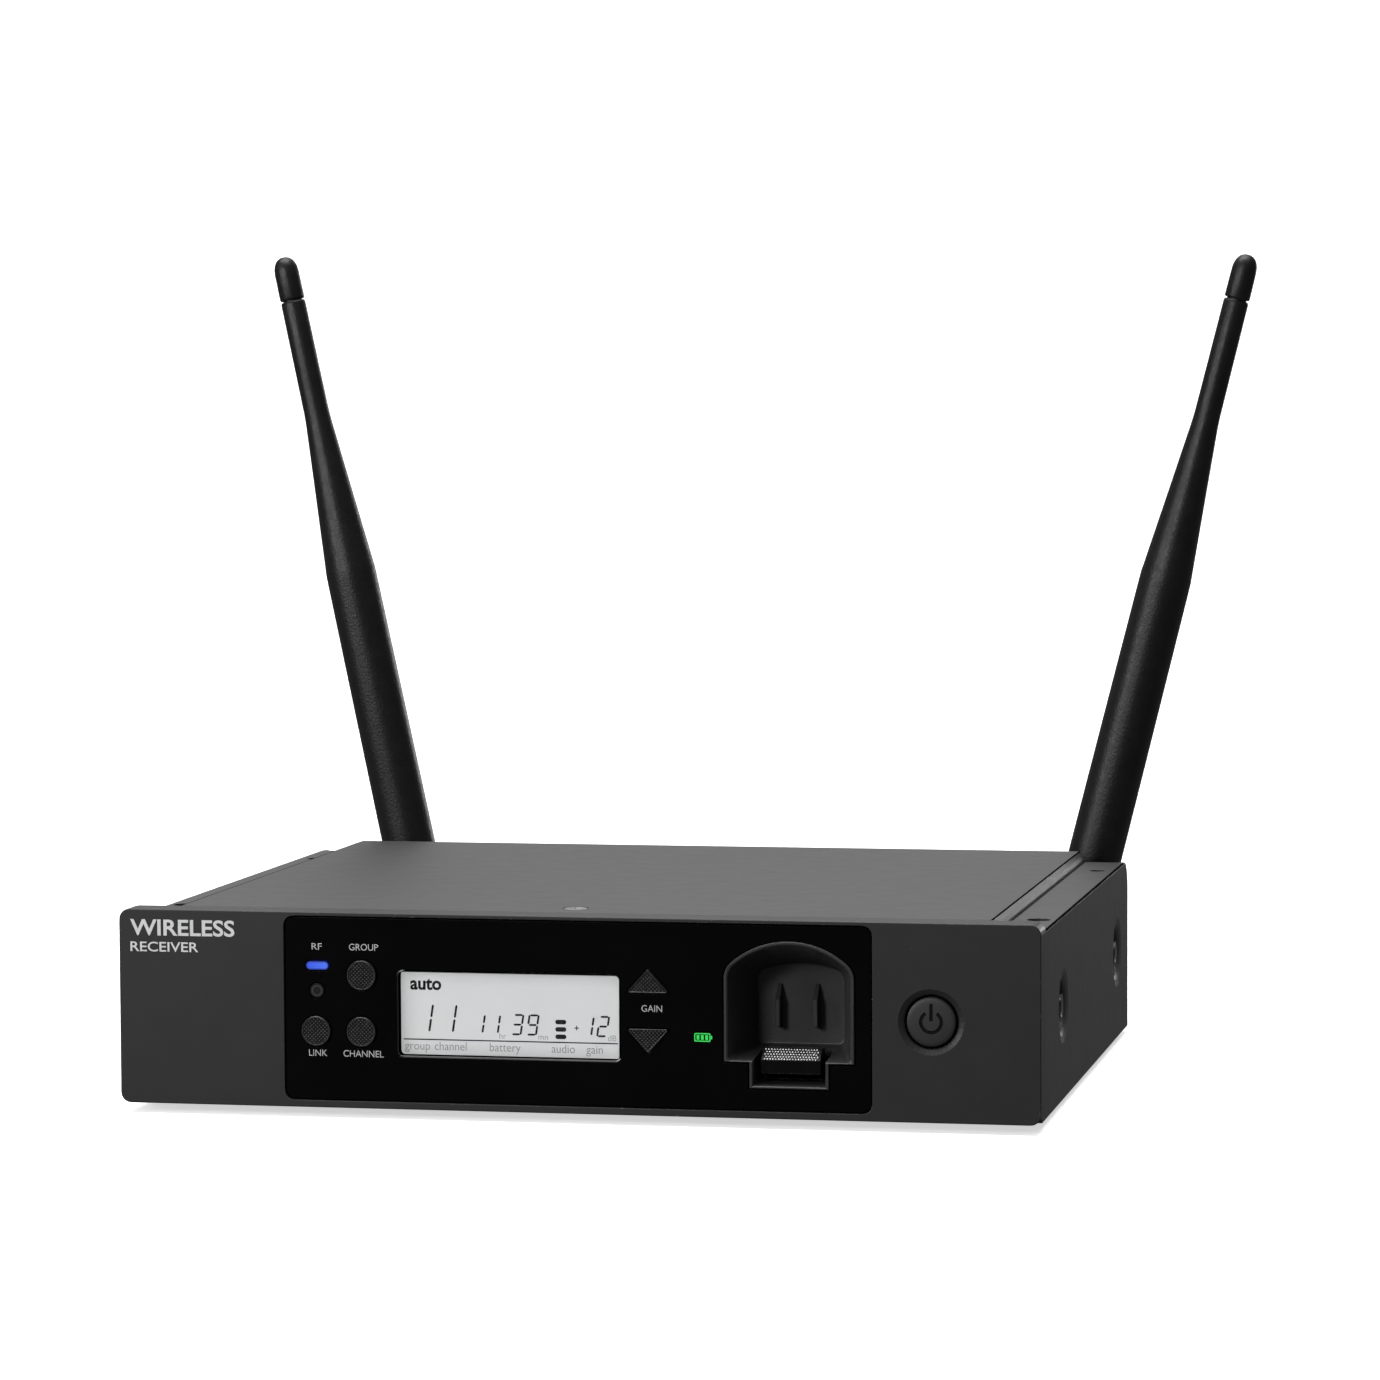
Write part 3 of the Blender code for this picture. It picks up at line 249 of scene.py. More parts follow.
def make_pill_glow(name, lens, base, core, edge, strength):
    """Lit lens of pill shape: it glows at its core, paler to the right, and falls off to its rim."""
    low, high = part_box(lens)
    middle = (low + high) / 2
    half = (high - low) / 2
    mat = make_look(name, base, 0.3, tone=0.05)
    tree = mat.node_tree
    shader = tree.nodes["Principled BSDF"]
    place = add_node(tree, "ShaderNodeTexCoord").outputs["Object"]
    parts = add_node(tree, "ShaderNodeSeparateXYZ", {"Vector": place}).outputs
    across = add_maths(tree, "ABSOLUTE", add_maths(tree, "SUBTRACT", parts["X"], middle.x), 0.0)
    past = add_maths(tree, "MAXIMUM", add_maths(tree, "SUBTRACT", across, half.x - half.z), 0.0)
    beside = add_maths(tree, "SUBTRACT", parts["Z"], middle.z)
    reach = add_maths(tree, "SQRT", add_maths(tree, "ADD", add_maths(tree, "MULTIPLY", past, past),
                                              add_maths(tree, "MULTIPLY", beside, beside)), 0.0)
    share = add_maths(tree, "DIVIDE", reach, half.z)
    along = add_range(tree, parts["X"], low.x, high.x, 0.0, 1.0)
    centre = add_ramp(tree, along, [(0.0, core[0]), (1.0, core[1])])
    rim = add_range(tree, share, 0.55, 0.95, 0.0, 1.0)
    tree.links.new(add_mix(tree, rim, centre, edge), shader.inputs["Emission Color"])
    shader.inputs["Emission Strength"].default_value = strength
    return mat


def make_clear(name):
    """Clear plastic sheet with faint smears."""
    mat = make_look(name, (0.98, 0.99, 1.0), 0.02, tone=0.01, spread=0.01)
    shader = mat.node_tree.nodes["Principled BSDF"]
    shader.inputs["Transmission Weight"].default_value = 1.0
    shader.inputs["IOR"].default_value = 1.06
    return mat


def make_knurl_look(name, front, height):
    """Knurled rubber with painted light: pale tips as a painted highlight and dark valleys as painted shade.
    """
    mat = make_look(name, (0.010, 0.010, 0.0105), 0.36, specular=0.5, tone=0.2, tone_scale=900.0)
    tree = mat.node_tree
    shader = tree.nodes["Principled BSDF"]
    place = add_node(tree, "ShaderNodeTexCoord").outputs["Object"]
    parts = add_node(tree, "ShaderNodeSeparateXYZ", {"Vector": place}).outputs
    depth = add_range(tree, parts["Y"], front, front + height, 0.0, 1.0)
    uneven = add_range(tree, add_noise(tree, place, 1500.0, 2.0), 0.3, 0.7, -0.12, 0.12)
    # painted highlight at the tips and painted shade in the valleys, set by depth into the knurl
    tip_highlight_valley_shade = add_ramp(tree, add_maths(tree, "ADD", depth, uneven),
                     [(0.0, (0.105, 0.105, 0.108)), (0.28, (0.060, 0.060, 0.062)),
                      (0.55, (0.006, 0.006, 0.006)), (1.0, (0.0015, 0.0015, 0.0015))])
    tree.links.new(tip_highlight_valley_shade, shader.inputs["Base Color"])
    return mat


def make_screen():
    """Backlit display glass: pale, with painted shade under its top and left edges, where the fascia opening
    shades it.
    """
    low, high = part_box("display_window")
    mat = make_look("display_glass", (0.20, 0.20, 0.20), 0.35, specular=0.2, tone=0.02, tone_scale=25.0)
    tree = mat.node_tree
    shader = tree.nodes["Principled BSDF"]
    place = add_node(tree, "ShaderNodeTexCoord").outputs["Object"]
    parts = add_node(tree, "ShaderNodeSeparateXYZ", {"Vector": place})
    # painted shade: the glow is dimmed along the top and left edges to stand in for the shadow of the fascia
    # opening
    top = add_range(tree, parts.outputs["Z"], high.z - 3.0 * MM, high.z - 0.6 * MM, 1.0, 0.80)
    left = add_range(tree, parts.outputs["X"], low.x + 1.0 * MM, low.x + 4.0 * MM, 0.93, 1.0)
    edge_painted_shade = add_maths(tree, "MULTIPLY", top, left)
    glow = add_ramp(tree, edge_painted_shade, [(0.0, (0.0, 0.0, 0.0)), (1.0, (1.0, 1.0, 1.0))])
    tree.links.new(glow, shader.inputs["Emission Color"])
    shader.inputs["Emission Strength"].default_value = 0.385
    return mat


STEEL_BARE = (0.55, 0.55, 0.56)
LOOKS = {}


def add_look(name, *values, **settings):
    """Make a finish and keep it under its name."""
    LOOKS[name] = make_look(name, *values, **settings)


add_look("case_paint", (0.030, 0.030, 0.031), 0.50, specular=0.40, tone=0.03, spread=0.015, grain=0.00003,
         grain_scale=1800.0, wear=((0.14, 0.14, 0.15), 0.0003, 0.0))
add_look("bezel_paint", (0.018, 0.018, 0.0185), 0.44, specular=0.3, tone=0.05, spread=0.02, grain=0.000008,
         grain_scale=3000.0, wear=((0.26, 0.26, 0.27), 0.0003, 0.0), dust=0.3)
add_look("fascia_black", (0.0020, 0.0020, 0.0021), 0.20, specular=0.05, tone=0.15, spread=0.03,
         tone_scale=40.0)
add_look("bay_black", (0.031, 0.031, 0.032), 0.42, specular=0.3, tone=0.10, grain=0.00001, dust=0.3)
# painted highlight: the latch's pale edge colour stands in for the light line its bevelled edges catch
add_look("latch_black", (0.0020, 0.0020, 0.0021), 0.25, specular=0.15,
         wear=((0.10, 0.10, 0.10), 0.00012, 0.25))
add_look("button_black", (0.010, 0.010, 0.0105), 0.33, specular=0.6, tone=0.2, tone_scale=900.0)
add_look("power_grey", (0.022, 0.022, 0.023), 0.46, specular=0.35, tone=0.05, grain=0.000006)
add_look("antenna_black", (0.0060, 0.0060, 0.0061), 0.40, specular=0.30, tone=0.25, tone_scale=250.0,
         grain=0.00007, grain_scale=1800.0, dust=0.2)
add_look("screw_steel", (0.34, 0.34, 0.35), 0.34, metallic=1.0, spread=0.08, tone_scale=400.0)
add_look("pin_steel", STEEL_BARE, 0.28, metallic=1.0, spread=0.08, tone_scale=400.0)
add_look("foot_rubber", (0.012, 0.012, 0.012), 0.85, specular=0.2, grain=0.00003)
LOOKS["window_clear"] = make_clear("window_clear")
LOOKS["display_glass"] = make_screen()
add_look("display_glow", (0.75, 0.76, 0.78), 0.5)
add_look("light_off", (0.010, 0.010, 0.011), 0.25, specular=0.3)
add_look("light_green", (0.003, 0.008, 0.004), 0.2, specular=0.1)
add_look("board_green", (0.010, 0.070, 0.030), 0.40, tone=0.3, tone_scale=300.0, grain=0.00001)
add_look("shield_tin", (0.60, 0.60, 0.58), 0.35, metallic=1.0, spread=0.08, grain=0.00001)
add_look("ribbon_grey", (0.55, 0.55, 0.52), 0.55)
add_look("connector_nickel", (0.58, 0.57, 0.54), 0.30, metallic=1.0, spread=0.08, grain=0.00001)
add_look("insert_black", (0.015, 0.015, 0.016), 0.55, grain=0.00001)
add_look("connector_brass", (0.70, 0.50, 0.20), 0.28, metallic=1.0, spread=0.08)
add_look("coax_black", (0.012, 0.012, 0.012), 0.5, grain=0.00001)
LOOKS["light_blue"] = make_pill_glow("light_blue", "rf_light_lens", (0.01, 0.02, 0.15),
                                     ((0.030, 0.080, 0.72), (0.085, 0.20, 0.92)), (0.001, 0.003, 0.05), 0.85)
PRINT_WHITE = make_look("print_white", (0.45, 0.45, 0.45), 0.6, specular=0.2, tone=0.05, tone_scale=900.0)
PRINT_NAME = make_look("print_name", (0.62, 0.62, 0.62), 0.6, specular=0.2, tone=0.05, tone_scale=900.0)
LINER_BLACK = make_look("liner_black", (0.0015, 0.0015, 0.0015), 0.8, specular=0.0)
# painted highlight: the display lip is coloured paler than the black fascia around it
LIP_PAINTED_HIGHLIGHT = make_look("lip_painted_highlight", (0.032, 0.032, 0.032), 0.4, specular=0.4)
# painted shade: near-black strips laid along the folds of the case
FOLD_SHADE_BLACK = make_look("fold_shade_black", (0.004, 0.004, 0.004), 0.8, specular=0.0)
ENGRAVED_BLACK = make_look("engraved_black", (0.003, 0.003, 0.003), 0.6, specular=0.1)
SEGMENT_BLACK = make_look("segment_black", (0.006, 0.006, 0.006), 0.5, specular=0.1, tone=0.1)
SEGMENT_GREY = make_look("segment_grey", (0.23, 0.23, 0.23), 0.6, specular=0.1, tone=0.1)
MARK_DIM = make_look("mark_dim", (0.030, 0.030, 0.031), 0.5, specular=0.2)
ICON_GREEN = make_look("icon_green", (0.02, 0.4, 0.06), 0.4)
DOT_METAL = make_look("dot_metal", (0.80, 0.80, 0.80), 0.38, metallic=0.6, specular=0.5, spread=0.1,
                      tone_scale=900.0)


def light_icon():
    """Make the green battery mark glow, a little brighter in places."""
    tree = ICON_GREEN.node_tree
    shader = tree.nodes["Principled BSDF"]
    place = add_node(tree, "ShaderNodeTexCoord").outputs["Object"]
    uneven = add_noise(tree, place, 700.0)
    glow = add_ramp(tree, uneven, [(0.3, (0.020, 0.50, 0.07)), (0.7, (0.05, 0.85, 0.13))])
    tree.links.new(glow, shader.inputs["Emission Color"])
    shader.inputs["Emission Strength"].default_value = 0.50


# ---------------------------------------------------------------- mesh helpers
def link_piece(name, bm, look, body, replaces=(), sharp=35.0):
    """Turn a bmesh into a piece that rides on a body."""
    mesh = bpy.data.meshes.new(name)
    bm.to_mesh(mesh)
    bm.free()
    mesh.materials.append(look)
    mesh.shade_smooth()
    mesh.set_sharp_from_angle(angle=math.radians(sharp))
    obj = bpy.data.objects.new(name, mesh)
    bpy.context.collection.objects.link(obj)
    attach(obj, body)
    if replaces:
        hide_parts(*replaces)
    return obj


def skin(bm, rings, caps=(True, True), loop=False):
    """Join a run of rings, each with the same count of points, into faces."""
    rows = [[bm.verts.new(point) for point in ring] for ring in rings]
    pairs = list(zip(rows, rows[1:])) + ([(rows[-1], rows[0])] if loop else [])
    for low, high in pairs:
        for k in range(len(low)):
            nxt = (k + 1) % len(low)
            bm.faces.new((low[k], low[nxt], high[nxt], high[k]))
    if caps[0] and not loop:
        bm.faces.new(rows[0])
    if caps[1] and not loop:
        bm.faces.new(rows[-1])
    return rows


def on_face(outline, y):
    """Place an outline of (x, z) points at a depth."""
    return [Vector((x, y, z)) for x, z in outline]


def on_side(outline, x):
    """Place an outline of (y, z) points across the width."""
    return [Vector((x, y, z)) for y, z in outline]


def circle(radius, centre=(0.0, 0.0), sides=64, start=0.0):
    """Points of a circle."""
    angles = [start + math.tau * k / sides for k in range(sides)]
    return [(centre[0] + radius * math.cos(a), centre[1] + radius * math.sin(a)) for a in angles]


def rounded_box(half_width, half_height, radius, centre=(0.0, 0.0), steps=6):
    """Outline of a rectangle with round corners."""
    points = []
    for side, up, start in ((1, 1, 0.0), (-1, 1, 90.0), (-1, -1, 180.0), (1, -1, 270.0)):
        cx = centre[0] + side * (half_width - radius)
        cz = centre[1] + up * (half_height - radius)
        for k in range(steps + 1):
            angle = math.radians(start + 90.0 * k / steps)
            points.append((cx + radius * math.cos(angle), cz + radius * math.sin(angle)))
    return points


def grown(outline, amount):
    """Move every side of an anticlockwise outline outwards by an amount."""
    points = [Vector(point) for point in outline]
    moved = []
    for k, here in enumerate(points):
        before = (here - points[k - 1]).normalized()
        after = (points[(k + 1) % len(points)] - here).normalized()
        normal_in = Vector((before.y, -before.x))
        normal_out = Vector((after.y, -after.x))
        step = (normal_in + normal_out) / (1.0 + normal_in.dot(normal_out))
        moved.append(tuple(here + step * amount))
    return moved


def turned(bm, profile, axis, centre, sides=64):
    """Turn (place along the axis, radius) pairs about an axis through a centre."""
    rings = []
    for along, radius in profile:
        ring = []
        for a, b in circle(radius, (0.0, 0.0), sides):
            offset = {"x": (along, a, b), "y": (a, along, b), "z": (a, b, along)}[axis]
            ring.append(Vector(centre) + Vector(offset))
        rings.append(ring)
    skin(bm, rings)


def tidy_normals(bm):
    """Make every face look outwards."""
    bmesh.ops.recalc_face_normals(bm, faces=bm.faces[:])


def carve(obj, tools, operation="DIFFERENCE"):
    """Apply cuts or unions to an object, each tool a bmesh."""
    helpers = []
    for tool in tools:
        tidy_normals(tool)
        mesh = bpy.data.meshes.new("tool")
        tool.to_mesh(mesh)
        tool.free()
        helper = bpy.data.objects.new("tool", mesh)
        bpy.context.collection.objects.link(helper)
        helpers.append(helper)
        change = obj.modifiers.new("carve", "BOOLEAN")
        change.object = helper
        change.operation = operation
    evaluated = obj.evaluated_get(bpy.context.evaluated_depsgraph_get())
    mesh = bpy.data.meshes.new_from_object(evaluated)
    obj.modifiers.clear()
    old, obj.data = obj.data, mesh
    bpy.data.meshes.remove(old)
    for helper in helpers:
        bpy.data.objects.remove(helper)
    mesh.shade_smooth()
    mesh.set_sharp_from_angle(angle=math.radians(35))
    return obj


def ring_solid(rings):
    """One closed body as a bmesh."""
    bm = bmesh.new()
    skin(bm, rings)
    tidy_normals(bm)
    return bm


# ---------------------------------------------------------------- kept CAD pieces
def dress_cad():
    """Give every CAD node its finish, and soften the edges of those that stay in view."""
    for name, node in NODES.items():
        slot = node.material_slots[0]
        slot.material = LOOKS[slot.material.name.split(".")[0]]
        weld = node.modifiers.new("weld", "WELD")
        weld.merge_threshold = 2e-6
        width = BEVELS.get(name)
        if width:
            bevel = node.modifiers.new("bevel", "BEVEL")
            bevel.width = width
            bevel.segments = 2
            bevel.limit_method = "ANGLE"
            bevel.angle_limit = math.radians(40)
            bevel.harden_normals = True
            bevel.use_clamp_overlap = True


BEVELS = {
    "top_cover": 0.00015, "rear_panel": 0.0002, "base_tray": 0.0002, "front_bezel": 0.00012,
    "front_fascia": 0.00008, "xlr_shell": 0.0003, "jack_nut": 0.0002, "antenna_nut_left": 0.0002,
    "antenna_nut_right": 0.0002, "cord_tie_off": 0.0004, "usb_port": 0.0001, "level_switch_slider": 0.0002,
    "rf_light_lens": 0.0001, "link_light_lens": 0.0001, "battery_light_lens": 0.0001,
}


# ---------------------------------------------------------------- keys
KNURL_CELL = 0.57 * MM
KNURL_HEIGHT = 0.22 * MM
ROUND_KEY = (0.16 * MM, 0.20 * MM)      # smooth rim round the knurled field, and rounding of the cap's edge
GAIN_KEY = (0.12 * MM, 0.12 * MM)
KEY_FLANGE = 0.9 * MM         # the CAD key's hidden flange
FASCIA_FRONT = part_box("front_fascia")[0].y
KNURL_LOOK = make_knurl_look("knurled_black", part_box("group_button")[0].y, KNURL_HEIGHT)


def knurled_field(bm, centre, reach, front):
    """Pyramids on a square grid turned by 45 degrees, over a square patch of the face."""
    turn = Matrix.Rotation(math.radians(45), 2)
    count = int(reach / KNURL_CELL) + 2
    corners = {}

    def corner(i, j):
        if (i, j) not in corners:
            x, z = turn @ Vector((i * KNURL_CELL, j * KNURL_CELL))
            corners[i, j] = bm.verts.new((centre[0] + x, front + KNURL_HEIGHT, centre[1] + z))
        return corners[i, j]

    for i in range(-count, count):
        for j in range(-count, count):
            x, z = turn @ Vector(((i + 0.5) * KNURL_CELL, (j + 0.5) * KNURL_CELL))
            if math.hypot(x, z) > reach + KNURL_CELL:
                continue
            tip = bm.verts.new((centre[0] + x, front, centre[1] + z))
            square = [corner(i, j), corner(i + 1, j), corner(i + 1, j + 1), corner(i, j + 1)]
            for k in range(4):
                bm.faces.new((square[k], square[(k + 1) % 4], tip))


def trim_to(bm, outline):
    """Cut the patch back to a convex anticlockwise outline of (x, z) points."""
    for k, (x, z) in enumerate(outline):
        nx, nz = outline[(k + 1) % len(outline)]
        across = Vector((nz - z, 0.0, -(nx - x))).normalized()
        geometry = bm.verts[:] + bm.edges[:] + bm.faces[:]
        bmesh.ops.bisect_plane(bm, geom=geometry, dist=1e-8, plane_co=(x, 0.0, z), plane_no=across,
                               clear_outer=True)


def outward_at(outline, point):
    """Outward direction of the outline's side that lies nearest a point."""
    best = None
    for k, start in enumerate(outline):
        start = Vector(start)
        end = Vector(outline[(k + 1) % len(outline)])
        along = end - start
        share = max(0.0, min(1.0, (point - start).dot(along) / along.length_squared))
        gap = (start + along * share - point).length
        if best is None or gap < best[0]:
            best = (gap, Vector((along.y, -along.x)).normalized())
    return best[1]


def knurled_key(name, field, sizes, body):
    """Key cap: a knurled field, a smooth rim, straight sides and the hidden flange."""
    rim, rounding = sizes
    low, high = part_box(name)
    front = low.y
    centre = ((low.x + high.x) / 2, (low.z + high.z) / 2)
    reach = max(high.x - low.x, high.z - low.z) / 2
    bm = bmesh.new()
    knurled_field(bm, centre, reach, front)
    trim_to(bm, field)
    edges = [edge for edge in bm.edges if edge.is_boundary]
    border = [vert for edge in edges for vert in edge.verts]
    outward = {vert: outward_at(field, Vector((vert.co.x, vert.co.z))) for vert in border}
    start = {vert: Vector((vert.co.x, vert.co.z)) for vert in outward}
    side = rim + rounding
    flange_front = high.y - KEY_FLANGE
    steps = [(0.03 * MM, front + 0.04 * MM), (rim, front + 0.02 * MM),
             (rim + rounding * 0.5, front + rounding * 0.15),
             (rim + rounding * 0.87, front + rounding * 0.50),
             (side, front + rounding), (side, flange_front), (side + KEY_FLANGE, flange_front),
             (side + KEY_FLANGE, high.y)]
    for reach_out, y in steps:
        made = bmesh.ops.extrude_edge_only(bm, edges=edges)["geom"]
        fresh = [item for item in made if isinstance(item, bmesh.types.BMVert)]
        edges = [item for item in made if isinstance(item, bmesh.types.BMEdge) and item.is_boundary]
        for vert in fresh:
            source = nearest_start(vert, start)
            flat = start[source] + outward[source] * reach_out
            vert.co = Vector((flat.x, y, flat.y))
            start[vert] = start[source]
            outward[vert] = outward[source]
    bmesh.ops.contextual_create(bm, geom=edges)
    tidy_normals(bm)
    key = link_piece(name.replace("_button", "_key"), bm, LOOKS["button_black"], body, [name],
                     sharp=25)
    key.data.materials.append(KNURL_LOOK)
    for face in key.data.polygons:
        if inside_field(face.center, field) and face.center.y < front + KNURL_HEIGHT:
            face.material_index = 1


def inside_field(point, field):
    """True if a point lies within the convex outline of the knurled field."""
    for k, (x, z) in enumerate(field):
        nx, nz = field[(k + 1) % len(field)]
        if (nx - x) * (point.z - z) - (nz - z) * (point.x - x) < 0.0:
            return False
    return True


def nearest_start(vert, start):
    """The vertex that a newly extruded vertex was made from."""
    for edge in vert.link_edges:
        other = edge.other_vert(vert)
        if other in start and (other.co - vert.co).length < 1e-9:
            return other
    return min(start, key=lambda known: (known.co - vert.co).length)


def triangle_field(name, tip):
    """Knurled field of a gain key, a rounded triangle: its tip is up (1) or down (-1)."""
    low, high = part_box(name)
    middle = (low.x + high.x) / 2
    corner = 0.05 * MM
    half, height = 4.5 * MM, 5.0 * MM
    inset = sum(GAIN_KEY)
    base = low.z + KEY_FLANGE if tip > 0 else high.z - KEY_FLANGE
    corners = [Vector((-half, 0.0)), Vector((half, 0.0)), Vector((0.0, height))]
    points = []
    for k, here in enumerate(corners):
        before = (corners[k - 1] - here).normalized()
        after = (corners[(k + 1) % 3] - here).normalized()
        inwards = (before + after).normalized()
        half_angle = before.angle(inwards)
        centre = here + inwards * ((inset + corner) / math.sin(half_angle))
        outward = math.atan2(-inwards.y, -inwards.x)
        sweep = math.pi - 2 * half_angle
        for step in range(9):
            angle = outward - sweep / 2 + sweep * step / 8
            points.append(centre + Vector((math.cos(angle), math.sin(angle))) * corner)
    outline = [(middle + p.x, base + tip * p.y) for p in points]
    return outline if tip > 0 else outline[::-1]


def make_keys():
    """Three round keys and two gain keys."""
    for name in ("group_button", "link_button", "channel_button"):
        low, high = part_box(name)
        radius = (high.x - low.x) / 2 - KEY_FLANGE - sum(ROUND_KEY)
        field = circle(radius, ((low.x + high.x) / 2, (low.z + high.z) / 2), 48)
        knurled_key(name, field, ROUND_KEY, "button_" + name.split("_")[0])
    knurled_key("gain_up_button", triangle_field("gain_up_button", 1), GAIN_KEY, "button_gain_up")
    knurled_key("gain_down_button", triangle_field("gain_down_button", -1), GAIN_KEY, "button_gain_down")


# ---------------------------------------------------------------- power button
def make_power_key():
    """Slightly domed cap with an engraved bar and open ring."""
    low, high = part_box("power_button")
    x, z = (low.x + high.x) / 2, (low.z + high.z) / 2
    flange = 1.4 * MM
    radius = (high.x - low.x) / 2 - flange
    depth = high.y - low.y
    profile = [(0.00 * MM, 0.2 * MM), (0.02 * MM, radius * 0.45), (0.07 * MM, radius * 0.80),
               (0.12 * MM, radius - 0.50 * MM), (0.20 * MM, radius - 0.20 * MM),
               (0.34 * MM, radius - 0.05 * MM), (0.55 * MM, radius), (depth - 1.1 * MM, radius),
               (depth - 1.1 * MM, radius + flange),
               (depth, radius + flange)]
    bm = bmesh.new()
    turned(bm, profile, "y", (x, low.y, z), 96)
    tidy_normals(bm)
    cap = link_piece("power_key", bm, LOOKS["power_grey"], "button_power", ["power_button"])
    bar = rounded_box(0.36 * MM, 1.80 * MM, 0.12 * MM, (x, z + 2.0 * MM), 3)
    gap = math.radians(33)
    outer, inner = 2.50 * MM, 1.78 * MM
    angles = [math.radians(90) + gap + (math.tau - 2 * gap) * k / 40 for k in range(41)]
    arc = [(x + outer * math.cos(a), z + outer * math.sin(a)) for a in angles]
    arc += [(x + inner * math.cos(a), z + inner * math.sin(a)) for a in reversed(angles)]
    reach, cut = 1.0 * MM, 0.30 * MM
    tools = [ring_solid([on_face(shape, low.y - reach), on_face(shape, low.y + cut)]) for shape in (bar, arc)]
    carve(cap, tools)
    bm = bmesh.new()
    for shape in (bar, arc):
        skin(bm, [on_face(shape, low.y + 0.20 * MM), on_face(shape, low.y + 0.34 * MM)])
    tidy_normals(bm)
    link_piece("power_mark", bm, ENGRAVED_BLACK, "button_power")


# ---------------------------------------------------------------- charging bay and its latch
BAY_LOW, BAY_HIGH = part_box("charging_bay")
BAY_X = (BAY_LOW.x + BAY_HIGH.x) / 2
BAY_FRONT = BAY_LOW.y
BAY_BACK = FASCIA_FRONT + 15.2 * MM     # the back wall
BAY_RIM = 0.7 * MM
BAY_HALF = BAY_HIGH.x - BAY_X
BAY_FLOOR = 12.3 * MM
BAY_SHOULDER = 31.6 * MM
BAY_CORNER = 4.4 * MM
NOTCH_HALF = 8.35 * MM
NOTCH_BACK = BAY_FRONT + 10.8 * MM
BAY_FILLET = 0.6 * MM
RIB_MIDDLE = 45.4 * MM
RIB_SPACING = 8.0 * MM


def arch(half, shoulder, top, corner):
    """Arc over the bay with rounded shoulders, from its right wall to its left wall."""
    rise = top - shoulder
    radius = (half * half + rise * rise) / (2 * rise)
    middle = top - radius
    lift = math.sqrt((radius - corner) ** 2 - (half - corner) ** 2)
    sweep = math.atan2(half - corner, lift)
    right = []
    for k in range(9):
        angle = math.radians(90) + (sweep - math.radians(90)) * k / 8
        right.append((half - corner + corner * math.sin(angle), middle + lift + corner * math.cos(angle)))
    crown = []
    for k in range(1, 20):
        angle = sweep - 2 * sweep * k / 20
        crown.append((radius * math.sin(angle), middle + radius * math.cos(angle)))
    left = [(-x, z) for x, z in right[::-1]]
    return [(BAY_X + x, z) for x, z in right + crown + left]


def bay_outline():
    """Outer outline of the tub: the arch with its notch."""
    points = [(BAY_X - NOTCH_HALF, BAY_FLOOR), (BAY_X - NOTCH_HALF, BAY_LOW.z),
              (BAY_X + NOTCH_HALF, BAY_LOW.z), (BAY_X + NOTCH_HALF, BAY_FLOOR), (BAY_X + BAY_HALF, BAY_FLOOR)]
    points += arch(BAY_HALF, BAY_SHOULDER, BAY_HIGH.z, BAY_CORNER)
    points.append((BAY_X - BAY_HALF, BAY_FLOOR))
    return points


def bowl_ring(y, inset):
    """Outline of the hollow at a depth, drawn in by an inset."""
    share = (y - BAY_FRONT) / (BAY_BACK - BAY_FRONT)
    share = max(0.0, share)

    def between(front, back):
        return front + (back - front) * share

    half = between(BAY_HALF - BAY_RIM, 9.3 * MM) - inset
    floor = between(BAY_FLOOR + 0.3 * MM, 14.1 * MM) + inset
    top = between(BAY_HIGH.z - BAY_RIM, 31.5 * MM) - inset
    shoulder = between(BAY_SHOULDER - 0.3 * MM, 29.7 * MM) - inset * 0.6
    corner = between(BAY_CORNER - 0.5 * MM, 2.6 * MM)
    low = between(0.8 * MM, 1.4 * MM)
    points = []
    for side, start in ((-1, 180.0), (1, 270.0)):
        for k in range(6):
            angle = math.radians(start + 18.0 * k)
            points.append((BAY_X + side * (half - low) + low * math.cos(angle),
                           floor + low + low * math.sin(angle)))
    points += arch(half, shoulder, top, corner)
    return on_face(points, y)


